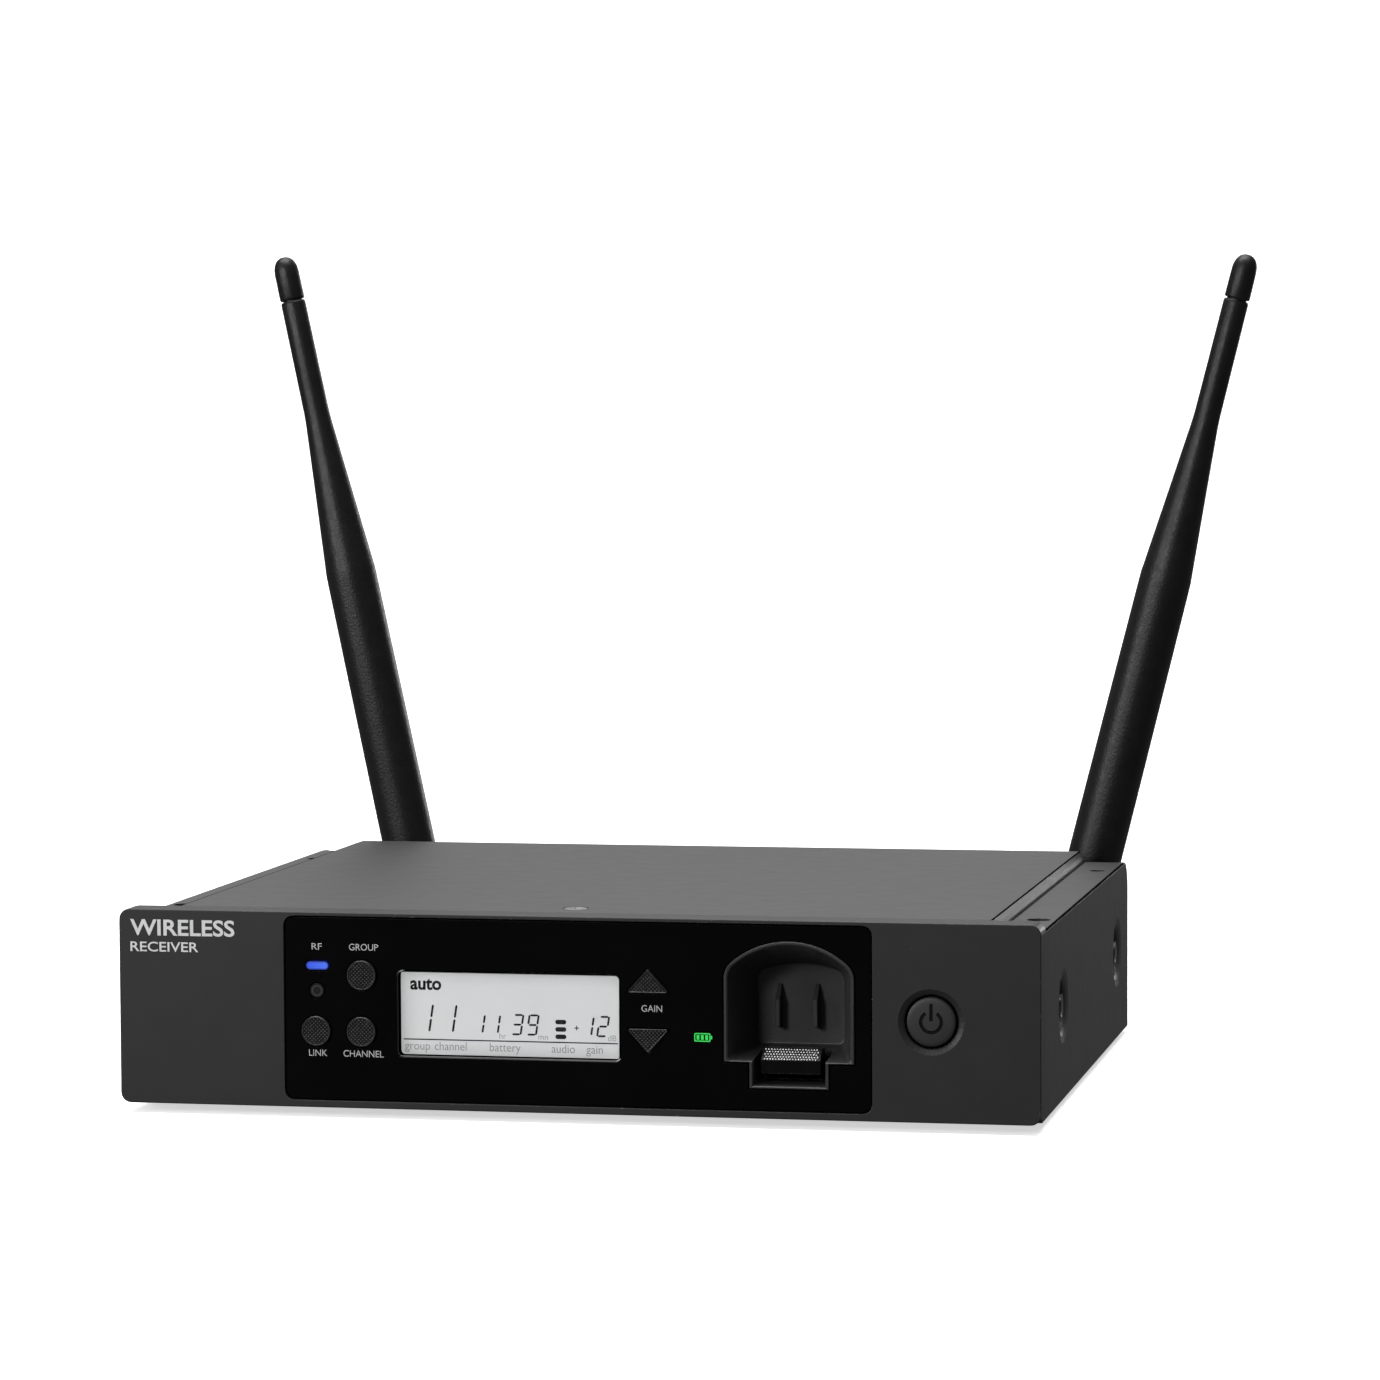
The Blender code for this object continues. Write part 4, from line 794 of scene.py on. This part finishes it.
def make_bay():
    """Tub with a thin rim, tapered walls that run softly into the back, two ribs and the latch's pocket."""
    outline = bay_outline()
    lip = 0.15 * MM
    bm = ring_solid([on_face(grown(outline, -lip), BAY_FRONT), on_face(outline, BAY_FRONT + lip),
                     on_face(outline, BAY_HIGH.y)])
    tub = link_piece("charging_bay_tub", bm, LOOKS["bay_black"], "case", ["charging_bay"])
    rings = [bowl_ring(BAY_FRONT - MM, -0.2 * MM), bowl_ring(BAY_FRONT, -0.2 * MM),
             bowl_ring(BAY_FRONT + 0.2 * MM, 0)]
    for k in range(9):
        angle = math.radians(90.0 * k / 8)
        y = BAY_BACK - BAY_FILLET + BAY_FILLET * math.sin(angle)
        rings.append(bowl_ring(y, BAY_FILLET * (1 - math.cos(angle)) * 0.8))
    half = NOTCH_HALF - BAY_RIM
    floor, ceiling = BAY_LOW.z + 0.5 * MM, 15.1 * MM

    def pocket(y, grow):
        outline = [(BAY_X - half - grow, floor - grow), (BAY_X + half + grow, floor - grow),
                   (BAY_X + half + grow, ceiling), (BAY_X - half - grow, ceiling)]
        return on_face(outline, y)

    notch = [pocket(BAY_FRONT - MM, 0.2 * MM), pocket(BAY_FRONT, 0.2 * MM), pocket(BAY_FRONT + 0.2 * MM, 0.0),
             pocket(NOTCH_BACK, 0.0)]
    stem = [(BAY_X - 6.6 * MM, 7.6 * MM), (BAY_X + 6.6 * MM, 7.6 * MM), (BAY_X + 6.6 * MM, 12.8 * MM),
            (BAY_X - 6.6 * MM, 12.8 * MM)]
    slot = [on_face(stem, NOTCH_BACK - MM), on_face(stem, BAY_HIGH.y + MM)]
    carve(tub, [ring_solid(rings), ring_solid(notch), ring_solid(slot)])

    soft = 0.15 * MM
    low, high, ramp, half = 18.4 * MM, 24.0 * MM, 3.1 * MM, 0.5 * MM
    face, root = BAY_BACK - 3.5 * MM, BAY_BACK + MM
    profile = [(face, low), (root, low - 0.8 * MM), (root, high + ramp), (BAY_BACK - 0.4 * MM, high + ramp),
               (face, high)]
    thin = grown(profile, -soft)
    ribs = []
    for side in (-1, 1):
        x = RIB_MIDDLE + side * RIB_SPACING / 2
        ribs.append(ring_solid([on_side(thin, x - half), on_side(profile, x - half + soft),
                                on_side(profile, x + half - soft), on_side(thin, x + half)]))
    carve(tub, ribs, "UNION")


def make_latch():
    """Latch with a studded thumb slope and softened edges, on its stem."""
    low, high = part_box("battery_latch")
    lip, back = 12.6 * MM, low.y + 5.6 * MM
    run = 2.3 * MM
    soft = 0.12 * MM
    profile = [(low.y, low.z), (back, low.z), (back, high.z), (low.y + run, high.z), (low.y, lip)]
    thin = grown(profile, -soft)
    rings = [on_side(thin, low.x), on_side(profile, low.x + soft), on_side(profile, high.x - soft),
             on_side(thin, high.x)]
    latch = link_piece("latch_body", ring_solid(rings), LOOKS["latch_black"], "latch",
                       ["battery_latch"])
    x = (low.x + high.x) / 2
    stem = rounded_box(2.2 * MM, 1.15 * MM, 0.3 * MM, (x, 11.25 * MM))
    carve(latch, [ring_solid([on_face(stem, back - MM), on_face(stem, high.y)])], "UNION")
    bevel = latch.modifiers.new("bevel", "BEVEL")
    bevel.width = 0.1 * MM
    bevel.segments = 2
    bevel.limit_method = "ANGLE"
    bevel.angle_limit = math.radians(30)

    slope = Vector((0.0, run, high.z - lip))
    length = slope.length
    along = slope.normalized()
    out = Vector((0.0, -along.z, along.y))
    start = Vector((x, low.y, lip))
    pitch, radius, rise = 0.60 * MM, 0.22 * MM, 0.14 * MM
    rows = 5
    bm = bmesh.new()
    for row in range(rows):
        up = 0.30 * MM + (length - 0.60 * MM) * row / (rows - 1)
        shift = 0.5 * (row % 2)
        for column in range(19):
            across = (column - 9 + shift - 0.25) * pitch
            centre = start + Vector((across, 0, 0)) + along * up
            rings = []
            for share in (-30.0, 0.0, 45.0):
                width = radius * math.cos(math.radians(max(0.0, share)))
                height = rise * math.sin(math.radians(share))
                rings.append([centre + Vector((width * math.cos(a), 0, 0)) + along * (width * math.sin(a))
                              + out * height for a in [math.tau * k / 8 for k in range(8)]])
            rows_made = skin(bm, rings, (True, False))
            tip = bm.verts.new(centre + out * rise)
            last = rows_made[-1]
            for k in range(8):
                bm.faces.new((last[k], last[(k + 1) % 8], tip))
    tidy_normals(bm)
    link_piece("latch_studs", bm, DOT_METAL, "latch", sharp=80)


# ---------------------------------------------------------------- display and print
def word_mesh(words, bold=0.0, shear=0.0):
    """Letters one unit high on a base line at zero, with the low and high corners of their ink."""
    curve = bpy.data.curves.new("words", "FONT")
    curve.body = words
    curve.offset = bold
    curve.shear = shear
    curve.resolution_u = 4
    curve.extrude = 0.5
    obj = bpy.data.objects.new("words", curve)
    bpy.context.collection.objects.link(obj)
    mesh = bpy.data.meshes.new_from_object(obj.evaluated_get(bpy.context.evaluated_depsgraph_get()))
    low = Vector([min(vert.co[k] for vert in mesh.vertices) for k in range(3)])
    high = Vector([max(vert.co[k] for vert in mesh.vertices) for k in range(3)])
    bpy.data.objects.remove(obj)
    bpy.data.curves.remove(curve)
    return mesh, low, high


def add_text(bm, words, x0, x1, z0, z1, y, bold=0.0, thick=0.03 * MM, facing=1, shear=0.0):
    """Add words as thin raised letters that fill a box on the face."""
    mesh, low, high = word_mesh(words, bold, shear)
    for vert in mesh.vertices:
        share_x = (vert.co.x - low.x) / (high.x - low.x)
        share_z = (vert.co.y - low.y) / (high.y - low.y)
        if facing < 0:
            share_x = 1 - share_x
        depth = y - facing * thick * (vert.co.z + 0.5)
        vert.co = Vector((x0 + (x1 - x0) * share_x, depth, z0 + (z1 - z0) * share_z))
    bm.from_mesh(mesh)
    bpy.data.meshes.remove(mesh)


def add_word(bm, words, centre, base, size, y, stretch=1.0, bold=0.0):
    """Add a word in one letter size, centred on a place and standing on a base line."""
    mesh, low, high = word_mesh(words, bold)
    bpy.data.meshes.remove(mesh)
    half = (high.x - low.x) * size * stretch / 2
    add_text(bm, words, centre - half, centre + half, base + low.y * size, base + high.y * size, y, bold)


FASCIA_LETTER = 2.0 * MM
UPPER_LABEL_BASE = 34.05 * MM
LOWER_LABEL_BASE = 11.5 * MM
GAIN_LABEL_BASE = 22.4 * MM
FASCIA_LABELS = {                       # middle of each word, and its base line
    "RF": (-55.1 * MM, UPPER_LABEL_BASE), "GROUP": (-44.9 * MM, UPPER_LABEL_BASE),
    "LINK": (-55.0 * MM, LOWER_LABEL_BASE), "CHANNEL": (-45.1 * MM, LOWER_LABEL_BASE),
    "GAIN": (17.0 * MM, GAIN_LABEL_BASE),
}


def make_print():
    """Printed words on the fascia and the bezel."""
    bm = bmesh.new()
    for words, (centre, base) in FASCIA_LABELS.items():
        stretch = 1.15 if words == "RF" else 0.95
        add_word(bm, words, centre, base, FASCIA_LETTER, FASCIA_FRONT + 0.01 * MM, stretch)
    tidy_normals(bm)
    link_piece("fascia_print", bm, PRINT_WHITE, "case")
    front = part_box("front_bezel")[0].y
    bm = bmesh.new()
    add_text(bm, "WIRELESS", -96.0 * MM, -73.0 * MM, 36.4 * MM, 39.9 * MM, front + 0.01 * MM, 0.02)
    add_text(bm, "RECEIVER", -96.0 * MM, -81.0 * MM, 33.0 * MM, 35.1 * MM, front + 0.01 * MM, 0.01)
    tidy_normals(bm)
    link_piece("bezel_print", bm, PRINT_NAME, "case")


SEGMENTS = {"1": "bc", "2": "abged", "3": "abgcd", "9": "abfgcd"}


def digit_shapes(digit, x0, x1, z0, z1, width):
    """Slanted seven-segment digit as a list of outlines, inside a box."""
    slant = math.tan(math.radians(8.5))
    gap = width * 0.28
    lean = (z1 - z0) * slant
    right = x1 - lean
    left = x0 if digit != "1" else right - width
    mid = (z0 + z1) / 2

    def bar_upright(x, low, high):
        tip = width * 0.45
        return [(x, low + tip), (x + width / 2, low), (x + width, low + tip), (x + width, high - tip),
                (x + width / 2, high), (x, high - tip)]

    def bar_level(z):
        tip = width * 0.5
        a, b = left + gap + tip, right - gap - tip
        return [(a, z), (a + tip, z - width / 2), (b - tip, z - width / 2), (b, z), (b - tip, z + width / 2),
                (a + tip, z + width / 2)]

    shapes = {
        "a": bar_level(z1 - width / 2), "g": bar_level(mid), "d": bar_level(z0 + width / 2),
        "b": bar_upright(right - width, mid + gap, z1 - gap),
        "c": bar_upright(right - width, z0 + gap, mid - gap),
        "f": bar_upright(left, mid + gap, z1 - gap), "e": bar_upright(left, z0 + gap, mid - gap),
    }
    return [[(x + (z - z0) * slant, z) for x, z in shapes[key]] for key in SEGMENTS[digit]]


def make_liner():
    """Dark tunnel between the fascia's front and the display glass, with a lip at its mouth coloured paler as
    a painted highlight.
    """
    low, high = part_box("display_window")
    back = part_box("lcd_panel")[0].y
    middle = ((low.x + high.x) / 2, (low.z + high.z) / 2)
    half = ((high.x - low.x) / 2, (high.z - low.z) / 2)
    bm = bmesh.new()
    mouth = rounded_box(half[0], half[1], 1.0 * MM, middle)
    throat = grown(mouth, -0.12 * MM)
    skin(bm, [on_face(mouth, FASCIA_FRONT + 0.10 * MM), on_face(throat, FASCIA_FRONT + 0.16 * MM),
              on_face(throat, back), on_face(mouth, back)], loop=True)
    tidy_normals(bm)
    link_piece("display_liner", bm, LINER_BLACK, "case")
    # painted highlight: the lip is paler than the fascia to stand in for the light its chamfered edge catches
    bm = bmesh.new()
    step = 0.11 * MM
    lip = grown(mouth, -step)
    skin(bm, [on_face(mouth, FASCIA_FRONT + 0.02 * MM), on_face(lip, FASCIA_FRONT + 0.02 * MM + step),
              on_face(lip, FASCIA_FRONT + 0.05 * MM + step), on_face(mouth, FASCIA_FRONT + 0.2 * MM)],
         loop=True)
    tidy_normals(bm)
    link_piece("display_lip_highlight", bm, LIP_PAINTED_HIGHLIGHT, "case")


DIGIT_BASE = 16.5 * MM
DIGIT_HEIGHT = 4.5 * MM
DIGIT_PITCH = 3.3 * MM
DIGIT_GAP = 0.25 * MM             # between digits, and what a 1 lacks at its top and its foot
DIGIT_STROKE = 0.42 * MM
NUMBERS = {"11": -15.8 * MM, "39": -7.5 * MM, "12": 7.6 * MM}     # right edge of each number
LARGE_PITCH = 5.1 * MM
LARGE_HEIGHT = 6.5 * MM
LARGE_STROKE = 0.46 * MM
LARGE_RIGHT = -25.2 * MM
LEVEL_BAR = (-3.0 * MM, 16.4 * MM, 1.55 * MM)     # middle, height of the lowest bar, and pitch
DISPLAY_LETTER = 2.6 * MM
DISPLAY_LABEL_BASE = 13.0 * MM
DISPLAY_LABELS = {"group": -34.0 * MM, "channel": -26.8 * MM, "battery": -15.0 * MM, "audio": -2.5 * MM,
                  "gain": 4.2 * MM}
UNIT_LETTER = 1.8 * MM
UNIT_BASE = 15.7 * MM
UNITS = {"hr": -15.5 * MM, "mn": -6.8 * MM, "dB": 8.0 * MM}


def number_shapes(digits, right, pitch, height, stroke):
    """Outlines of a number whose last digit ends at the right edge."""
    shapes = []
    for place, digit in enumerate(reversed(digits)):
        edge = right - place * pitch
        trim = DIGIT_GAP if digit == "1" else 0.0
        shapes += digit_shapes(digit, edge - pitch + DIGIT_GAP, edge, DIGIT_BASE + trim,
                               DIGIT_BASE + height - trim, stroke)
    return shapes


def make_display():
    """Digits, bars, rule and words on the lit panel."""
    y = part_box("lcd_panel")[0].y
    thick = 0.05 * MM
    shapes = number_shapes("11", LARGE_RIGHT, LARGE_PITCH, LARGE_HEIGHT, LARGE_STROKE)
    for digits, right in NUMBERS.items():
        shapes += number_shapes(digits, right, DIGIT_PITCH, DIGIT_HEIGHT, DIGIT_STROKE)
    bar_x, bar_z, bar_pitch = LEVEL_BAR
    for k in range(3):
        shapes.append(rounded_box(1.17 * MM, 0.48 * MM, 0.45 * MM, (bar_x, bar_z + k * bar_pitch)))
    bm = bmesh.new()
    for shape in shapes:
        skin(bm, [on_face(shape, y - thick), on_face(shape, y + 0.01 * MM)])
    add_word(bm, "auto", -32.1 * MM, 25.8 * MM, 3.85 * MM, y, 0.97, 0.03)
    tidy_normals(bm)
    link_piece("display_marks", bm, SEGMENT_BLACK, "case")

    bm = bmesh.new()
    bars = [rounded_box(23.1 * MM, 0.13 * MM, 0.01 * MM, (-13.9 * MM, 15.2 * MM), 1)]
    for half_width, half_height in ((0.5, 0.11), (0.11, 0.5)):
        bars.append(rounded_box(half_width * MM, half_height * MM, 0.05 * MM, (0.4 * MM, 18.3 * MM), 2))
    for shape in bars:
        skin(bm, [on_face(shape, y - thick * 0.8), on_face(shape, y + 0.01 * MM)])
    tidy_normals(bm)
    link_piece("display_rule", bm, SEGMENT_BLACK, "case")

    bm = bmesh.new()
    for words, centre in DISPLAY_LABELS.items():
        add_word(bm, words, centre, DISPLAY_LABEL_BASE, DISPLAY_LETTER, y, 0.9, -0.004)
    for words, centre in UNITS.items():
        add_word(bm, words, centre, UNIT_BASE, UNIT_LETTER, y, 1.0, -0.004)
    tidy_normals(bm)
    link_piece("display_words", bm, SEGMENT_GREY, "case")


def make_light_marks():
    """Battery mark in its lens, and the plain ring of the unlit lamp."""
    low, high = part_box("battery_light_lens")
    y = low.y
    z = (low.z + high.z) / 2
    frame_right = high.x - 0.35 * MM
    middle = (low.x + frame_right) / 2
    outer = rounded_box((frame_right - low.x) / 2 - 0.05 * MM, 0.90 * MM, 0.30 * MM, (middle, z))
    inner = grown(outer, -0.24 * MM)
    thick = 0.06 * MM
    bm = bmesh.new()
    skin(bm, [on_face(outer, y + 0.02 * MM), on_face(outer, y - thick), on_face(inner, y - thick),
              on_face(inner, y + 0.02 * MM)], loop=True)
    for k in range(3):
        x = middle + (k - 1) * 0.92 * MM
        skin(bm, [on_face(rounded_box(0.29 * MM, 0.50 * MM, 0.05 * MM, (x, z), 2), depth)
                  for depth in (y - thick, y + 0.02 * MM)])
    nub = rounded_box(0.15 * MM, 0.36 * MM, 0.05 * MM, (frame_right + 0.16 * MM, z), 2)
    skin(bm, [on_face(nub, depth) for depth in (y - thick, y + 0.02 * MM)])
    tidy_normals(bm)
    link_piece("battery_mark", bm, ICON_GREEN, "case")

    low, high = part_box("link_light_lens")
    centre = ((low.x + high.x) / 2, (low.z + high.z) / 2)
    bm = bmesh.new()
    outer, inner = circle(1.15 * MM, centre, 48), circle(0.85 * MM, centre, 48)
    back, face = low.y + 0.02 * MM, low.y - 0.03 * MM
    skin(bm, [on_face(outer, back), on_face(outer, face), on_face(inner, face), on_face(inner, back)],
         loop=True)
    tidy_normals(bm)
    link_piece("link_lamp_ring", bm, MARK_DIM, "case")


# ---------------------------------------------------------------- screws
def cross_head(bm_list, centre, axis, radius, depth):
    """Two crossed slots that cut a screw's drive."""
    wide, narrow = radius * 0.62, radius * 0.16
    for a, b in ((wide, narrow), (narrow, wide)):
        outline = rounded_box(a, b, narrow * 0.6, (0.0, 0.0), 2)
        rings = []
        for along, scale in ((radius, 1.0), (-depth, 0.7)):
            ring = []
            for u, v in outline:
                offset = {"z": (u * scale, v * scale, along), "y": (u * scale, along, v * scale),
                          "x": (along, u * scale, v * scale)}[axis]
                ring.append(Vector(centre) + Vector(offset))
            rings.append(ring)
        bm_list.append(ring_solid(rings))


def make_cover_screw():
    """Countersunk screw with a crossed drive."""
    low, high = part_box("cover_screw")
    centre = Vector(((low.x + high.x) / 2, (low.y + high.y) / 2, high.z))
    radius = (high.x - low.x) / 2
    profile = [(low.z - high.z, 1.0 * MM), (-1.55 * MM, 1.15 * MM), (-0.35 * MM, radius - 0.08 * MM),
               (-0.15 * MM, radius), (-0.04 * MM, radius - 0.05 * MM), (0.0, radius - 0.30 * MM)]
    bm = bmesh.new()
    turned(bm, profile, "z", centre, 64)
    tidy_normals(bm)
    screw = link_piece("cover_screw_head", bm, LOOKS["screw_steel"], "case", ["cover_screw"])
    tools = []
    cross_head(tools, centre, "z", radius, 0.7 * MM)
    carve(screw, tools)


def pan_screws(name, places, axis, side, radius):
    """Pan-head screws with crossed drives, as one piece."""
    bm = bmesh.new()
    tools = []
    height = radius * 0.45
    for place in places:
        profile = [(-0.8 * MM * side, radius * 0.55), (0.0, radius * 0.55), (0.0, radius),
                   (height * 0.45 * side, radius * 0.97), (height * 0.8 * side, radius * 0.78),
                   (height * side, radius * 0.45)]
        turned(bm, profile, axis, place, 32)
        top = Vector(place)
        top["xyz".index(axis)] += height * side
        cross_head(tools, top, axis, radius, height * 0.75)
    tidy_normals(bm)
    screws = link_piece(name, bm, LOOKS["screw_steel"], "case")
    carve(screws, tools)


INSERT_END = 97.3 * MM            # outer end of a threaded insert, from the middle of the case
DISH_PLACES = (-38.9 * MM, 59.8 * MM)
DISH_Z = 20.0 * MM


def make_fixings():
    """Screws of the rear panel, the output socket and the base, and the side plates' threaded inserts."""
    panel_low, panel_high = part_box("rear_panel")
    xlr_low, xlr_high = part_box("xlr_shell")
    middle = (xlr_low.z + xlr_high.z) / 2
    places = [(xlr_low.x + 3.0 * MM, xlr_high.y, middle + 11.6 * MM),
              (xlr_high.x - 3.0 * MM, xlr_high.y, middle - 11.6 * MM)]
    pan_screws("output_socket_screws", places, "y", 1, 1.5 * MM)
    places = [(x, panel_high.y, z) for x in (panel_low.x + 5 * MM, panel_high.x - 5 * MM)
              for z in (panel_low.z + 4 * MM, 33.5 * MM)]
    pan_screws("rear_panel_screws", places, "y", 1, 2.3 * MM)
    places = [(x, y, 0.0) for x in (-70 * MM, 70 * MM) for y in (-50 * MM, 50 * MM)]
    pan_screws("base_screws", places, "z", -1, 2.2 * MM)

    bm = bmesh.new()
    bore = [(INSERT_END - 2.6 * MM * k / 8, (2.05 if k % 2 else 2.32) * MM) for k in range(9)]
    shell = [(INSERT_END - 2.65 * MM, 2.48 * MM), (INSERT_END, 2.48 * MM)]
    for side in (-1, 1):
        for y in DISH_PLACES:
            rings = [[Vector((side * x, y + a, DISH_Z + b)) for a, b in circle(radius, sides=32)]
                     for x, radius in bore + shell]
            skin(bm, rings, loop=True)
    tidy_normals(bm)
    link_piece("side_inserts", bm, LOOKS["screw_steel"], "case")


# ---------------------------------------------------------------- folds of the case
COVER_EDGE = 87.2 * MM


def make_fold_shade_strips():
    """Thin dark strips along the folds of the side plates and the cover: painted shade, standing in for the
    dark lines where the bends turn away from the light.
    """
    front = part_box("side_plate_left")[0].y
    cover_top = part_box("top_cover")[1]
    cover_rear, cover_z = cover_top.y, cover_top.z
    plate_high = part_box("side_plate_right")[1]
    plate_x, plate_z = plate_high.x, plate_high.z
    proud = 0.012 * MM
    fold = [(plate_x - 0.34 * MM, plate_z + proud), (plate_x - 0.34 * MM, plate_z - 0.2 * MM),
            (plate_x - 0.2 * MM, plate_z - 0.34 * MM), (plate_x + proud, plate_z - 0.34 * MM),
            (plate_x - 0.10 * MM, plate_z - 0.10 * MM)]
    edge = [(COVER_EDGE - 0.20 * MM, cover_z + proud), (COVER_EDGE - 0.20 * MM, cover_z - 0.2 * MM),
            (COVER_EDGE + 0.10 * MM, cover_z - 0.3 * MM), (COVER_EDGE + 0.16 * MM, cover_z - 0.12 * MM),
            (COVER_EDGE, cover_z + proud)]
    bm = bmesh.new()
    for side in (-1, 1):
        for outline in (fold, edge):
            skin(bm, [[Vector((side * x, y, z)) for x, z in outline] for y in (front, cover_rear)])
    tidy_normals(bm)
    link_piece("case_fold_shade", bm, FOLD_SHADE_BLACK, "case", sharp=20)


# ---------------------------------------------------------------- antennas
PIVOT_Y = 90.5 * MM
PORT_Z = 20.6 * MM
ANTENNAS = {"left": (-76.1 * MM, -12.0), "right": (84.1 * MM, 14.2)}
WHIP = [
    (7.0, 5.1), (7.3, 5.7), (7.8, 6.1), (8.6, 6.28), (20.0, 6.4), (54.0, 6.26), (86.0, 6.12), (88.2, 6.08),
    (89.3, 5.98), (92.0, 5.77), (108.0, 4.52), (124.6, 3.26), (126.2, 3.17), (128.0, 3.10), (140.0, 3.04),
    (154.9, 3.0), (155.25, 2.93), (155.45, 2.75), (155.5, 2.5),
]
TIP = [
    (155.8, 2.3), (155.82, 2.75), (156.0, 2.95), (156.3, 3.03), (162.6, 2.98), (163.8, 2.86), (164.8, 2.56),
    (165.6, 2.08), (166.15, 1.45), (166.45, 0.75), (166.5, 0.2),
]


def leaned(bm, x, lean):
    """Lean a piece made about its pivot, and put the pivot in its place."""
    place = Matrix.Translation((x, PIVOT_Y, PORT_Z)) @ Matrix.Rotation(math.radians(lean), 4, "Y")
    bmesh.ops.transform(bm, matrix=place, verts=bm.verts[:])


def strap(radius, height, steps=24):
    """Round-ended strap about the hinge; points are (y, z)."""
    angles = [math.pi + math.pi * k / steps for k in range(steps + 1)]
    points = [(radius * math.cos(angle), radius * math.sin(angle)) for angle in angles]
    return points + [(radius, height), (-radius, height)]


def make_antenna(side, x, lean):
    """Whip with its tongue, cap with a groove under it, and the ribbed collar of the swivel."""
    black = LOOKS["antenna_black"]
    bm = bmesh.new()
    turned(bm, [(a * MM, r * MM) for a, r in WHIP], "z", (0, 0, 0), 64)
    leaned(bm, x, lean)
    tidy_normals(bm)
    whip = link_piece(f"whip_rod_{side}", bm, black, f"whip_{side}",
                      [f"antenna_whip_{side}"])
    profile = strap(5.3 * MM, 8.6 * MM)
    thin = grown(profile, -0.3 * MM)
    tongue = ring_solid([on_side(thin, -2.6 * MM), on_side(profile, -2.3 * MM), on_side(profile, 2.3 * MM),
                         on_side(thin, 2.6 * MM)])
    leaned(tongue, x, lean)
    carve(whip, [tongue], "UNION")
    bore = bmesh.new()
    turned(bore, [(-10 * MM, 1.5 * MM), (10 * MM, 1.5 * MM)], "x", (0, 0, 0), 32)
    leaned(bore, x, lean)
    carve(whip, [bore])

    bm = bmesh.new()
    turned(bm, [(a * MM, r * MM) for a, r in TIP], "z", (0, 0, 0), 64)
    turned(bm, [(154.9 * MM, 2.35 * MM), (156.4 * MM, 2.35 * MM)], "z", (0, 0, 0), 48)
    leaned(bm, x, lean)
    tidy_normals(bm)
    link_piece(f"whip_cap_{side}", bm, black, f"whip_{side}", [f"antenna_tip_{side}"])

    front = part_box(f"antenna_base_{side}")[0].y - PIVOT_Y
    bm = bmesh.new()
    count = 36
    for k in range(count):
        angle = math.tau * k / count
        across = Vector((math.cos(angle), 0.0, math.sin(angle)))
        beside = Vector((-math.sin(angle), 0.0, math.cos(angle)))
        rings = []
        for y, reach in ((front + 0.8 * MM, 5.32), (front + 1.3 * MM, 5.58), (front + 6.2 * MM, 5.58),
                         (front + 6.7 * MM, 5.32)):
            base, top = 5.1 * MM, reach * MM
            half, half_top = 0.32 * MM, 0.14 * MM
            ring = [across * base - beside * half, across * base + beside * half,
                    across * top + beside * half_top, across * top - beside * half_top]
            rings.append([point + Vector((0, y, 0)) for point in ring])
        skin(bm, rings)
    leaned(bm, x, lean)
    tidy_normals(bm)
    link_piece(f"swivel_grip_{side}", bm, black, f"swivel_{side}")


# ---------------------------------------------------------------- rear details
REAR_WORDS = [                    # word, middle, width, base line and height in millimetres
    ("POWER", -50.0, 10.0, 27.6, 1.7),
    ("SERVICE", -24.0, 10.5, 27.6, 1.7),
    ("OUTPUT", 6.0, 11.0, 37.2, 1.7),
    ("MIC", 28.4, 4.6, 26.0, 1.6),
    ("LINE", 36.0, 5.4, 26.0, 1.6),
    ("OUTPUT", 54.0, 11.0, 30.0, 1.7),
    ("A", 84.1, 1.9, 29.6, 1.9),
    ("B", -76.1, 1.9, 29.6, 1.9),
]


def make_rear():
    """Threads on the jack and plain words on the rear panel."""
    low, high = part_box("jack_body")
    nut_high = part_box("jack_nut")[1].y
    x, z = (low.x + high.x) / 2, (low.z + high.z) / 2
    outer = 4.95 * MM
    bm = bmesh.new()
    y = nut_high + 0.15 * MM
    while y < high.y - 0.7 * MM:
        profile = [(y, 4.6 * MM), (y + 0.2 * MM, outer), (y + 0.4 * MM, 4.6 * MM)]
        turned(bm, profile, "y", (x, 0, z), 48)
        y += 0.6 * MM
    tidy_normals(bm)
    link_piece("jack_thread", bm, LOOKS["connector_nickel"], "case")

    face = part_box("rear_panel")[1].y
    bm = bmesh.new()
    for words, middle, width, base, height in REAR_WORDS:
        left, right = (middle - width / 2) * MM, (middle + width / 2) * MM
        add_text(bm, words, left, right, base * MM, (base + height) * MM, face - 0.01 * MM, 0.012, facing=-1)
    tidy_normals(bm)
    link_piece("rear_print", bm, PRINT_WHITE, "case")


make_camera()
make_studio()
dress_cad()
light_icon()
make_keys()
make_power_key()
make_bay()
make_latch()
make_print()
make_liner()
make_display()
make_light_marks()
make_cover_screw()
make_fixings()
make_fold_shade_strips()
for antenna_side, (antenna_x, antenna_lean) in ANTENNAS.items():
    make_antenna(antenna_side, antenna_x, antenna_lean)
make_rear()
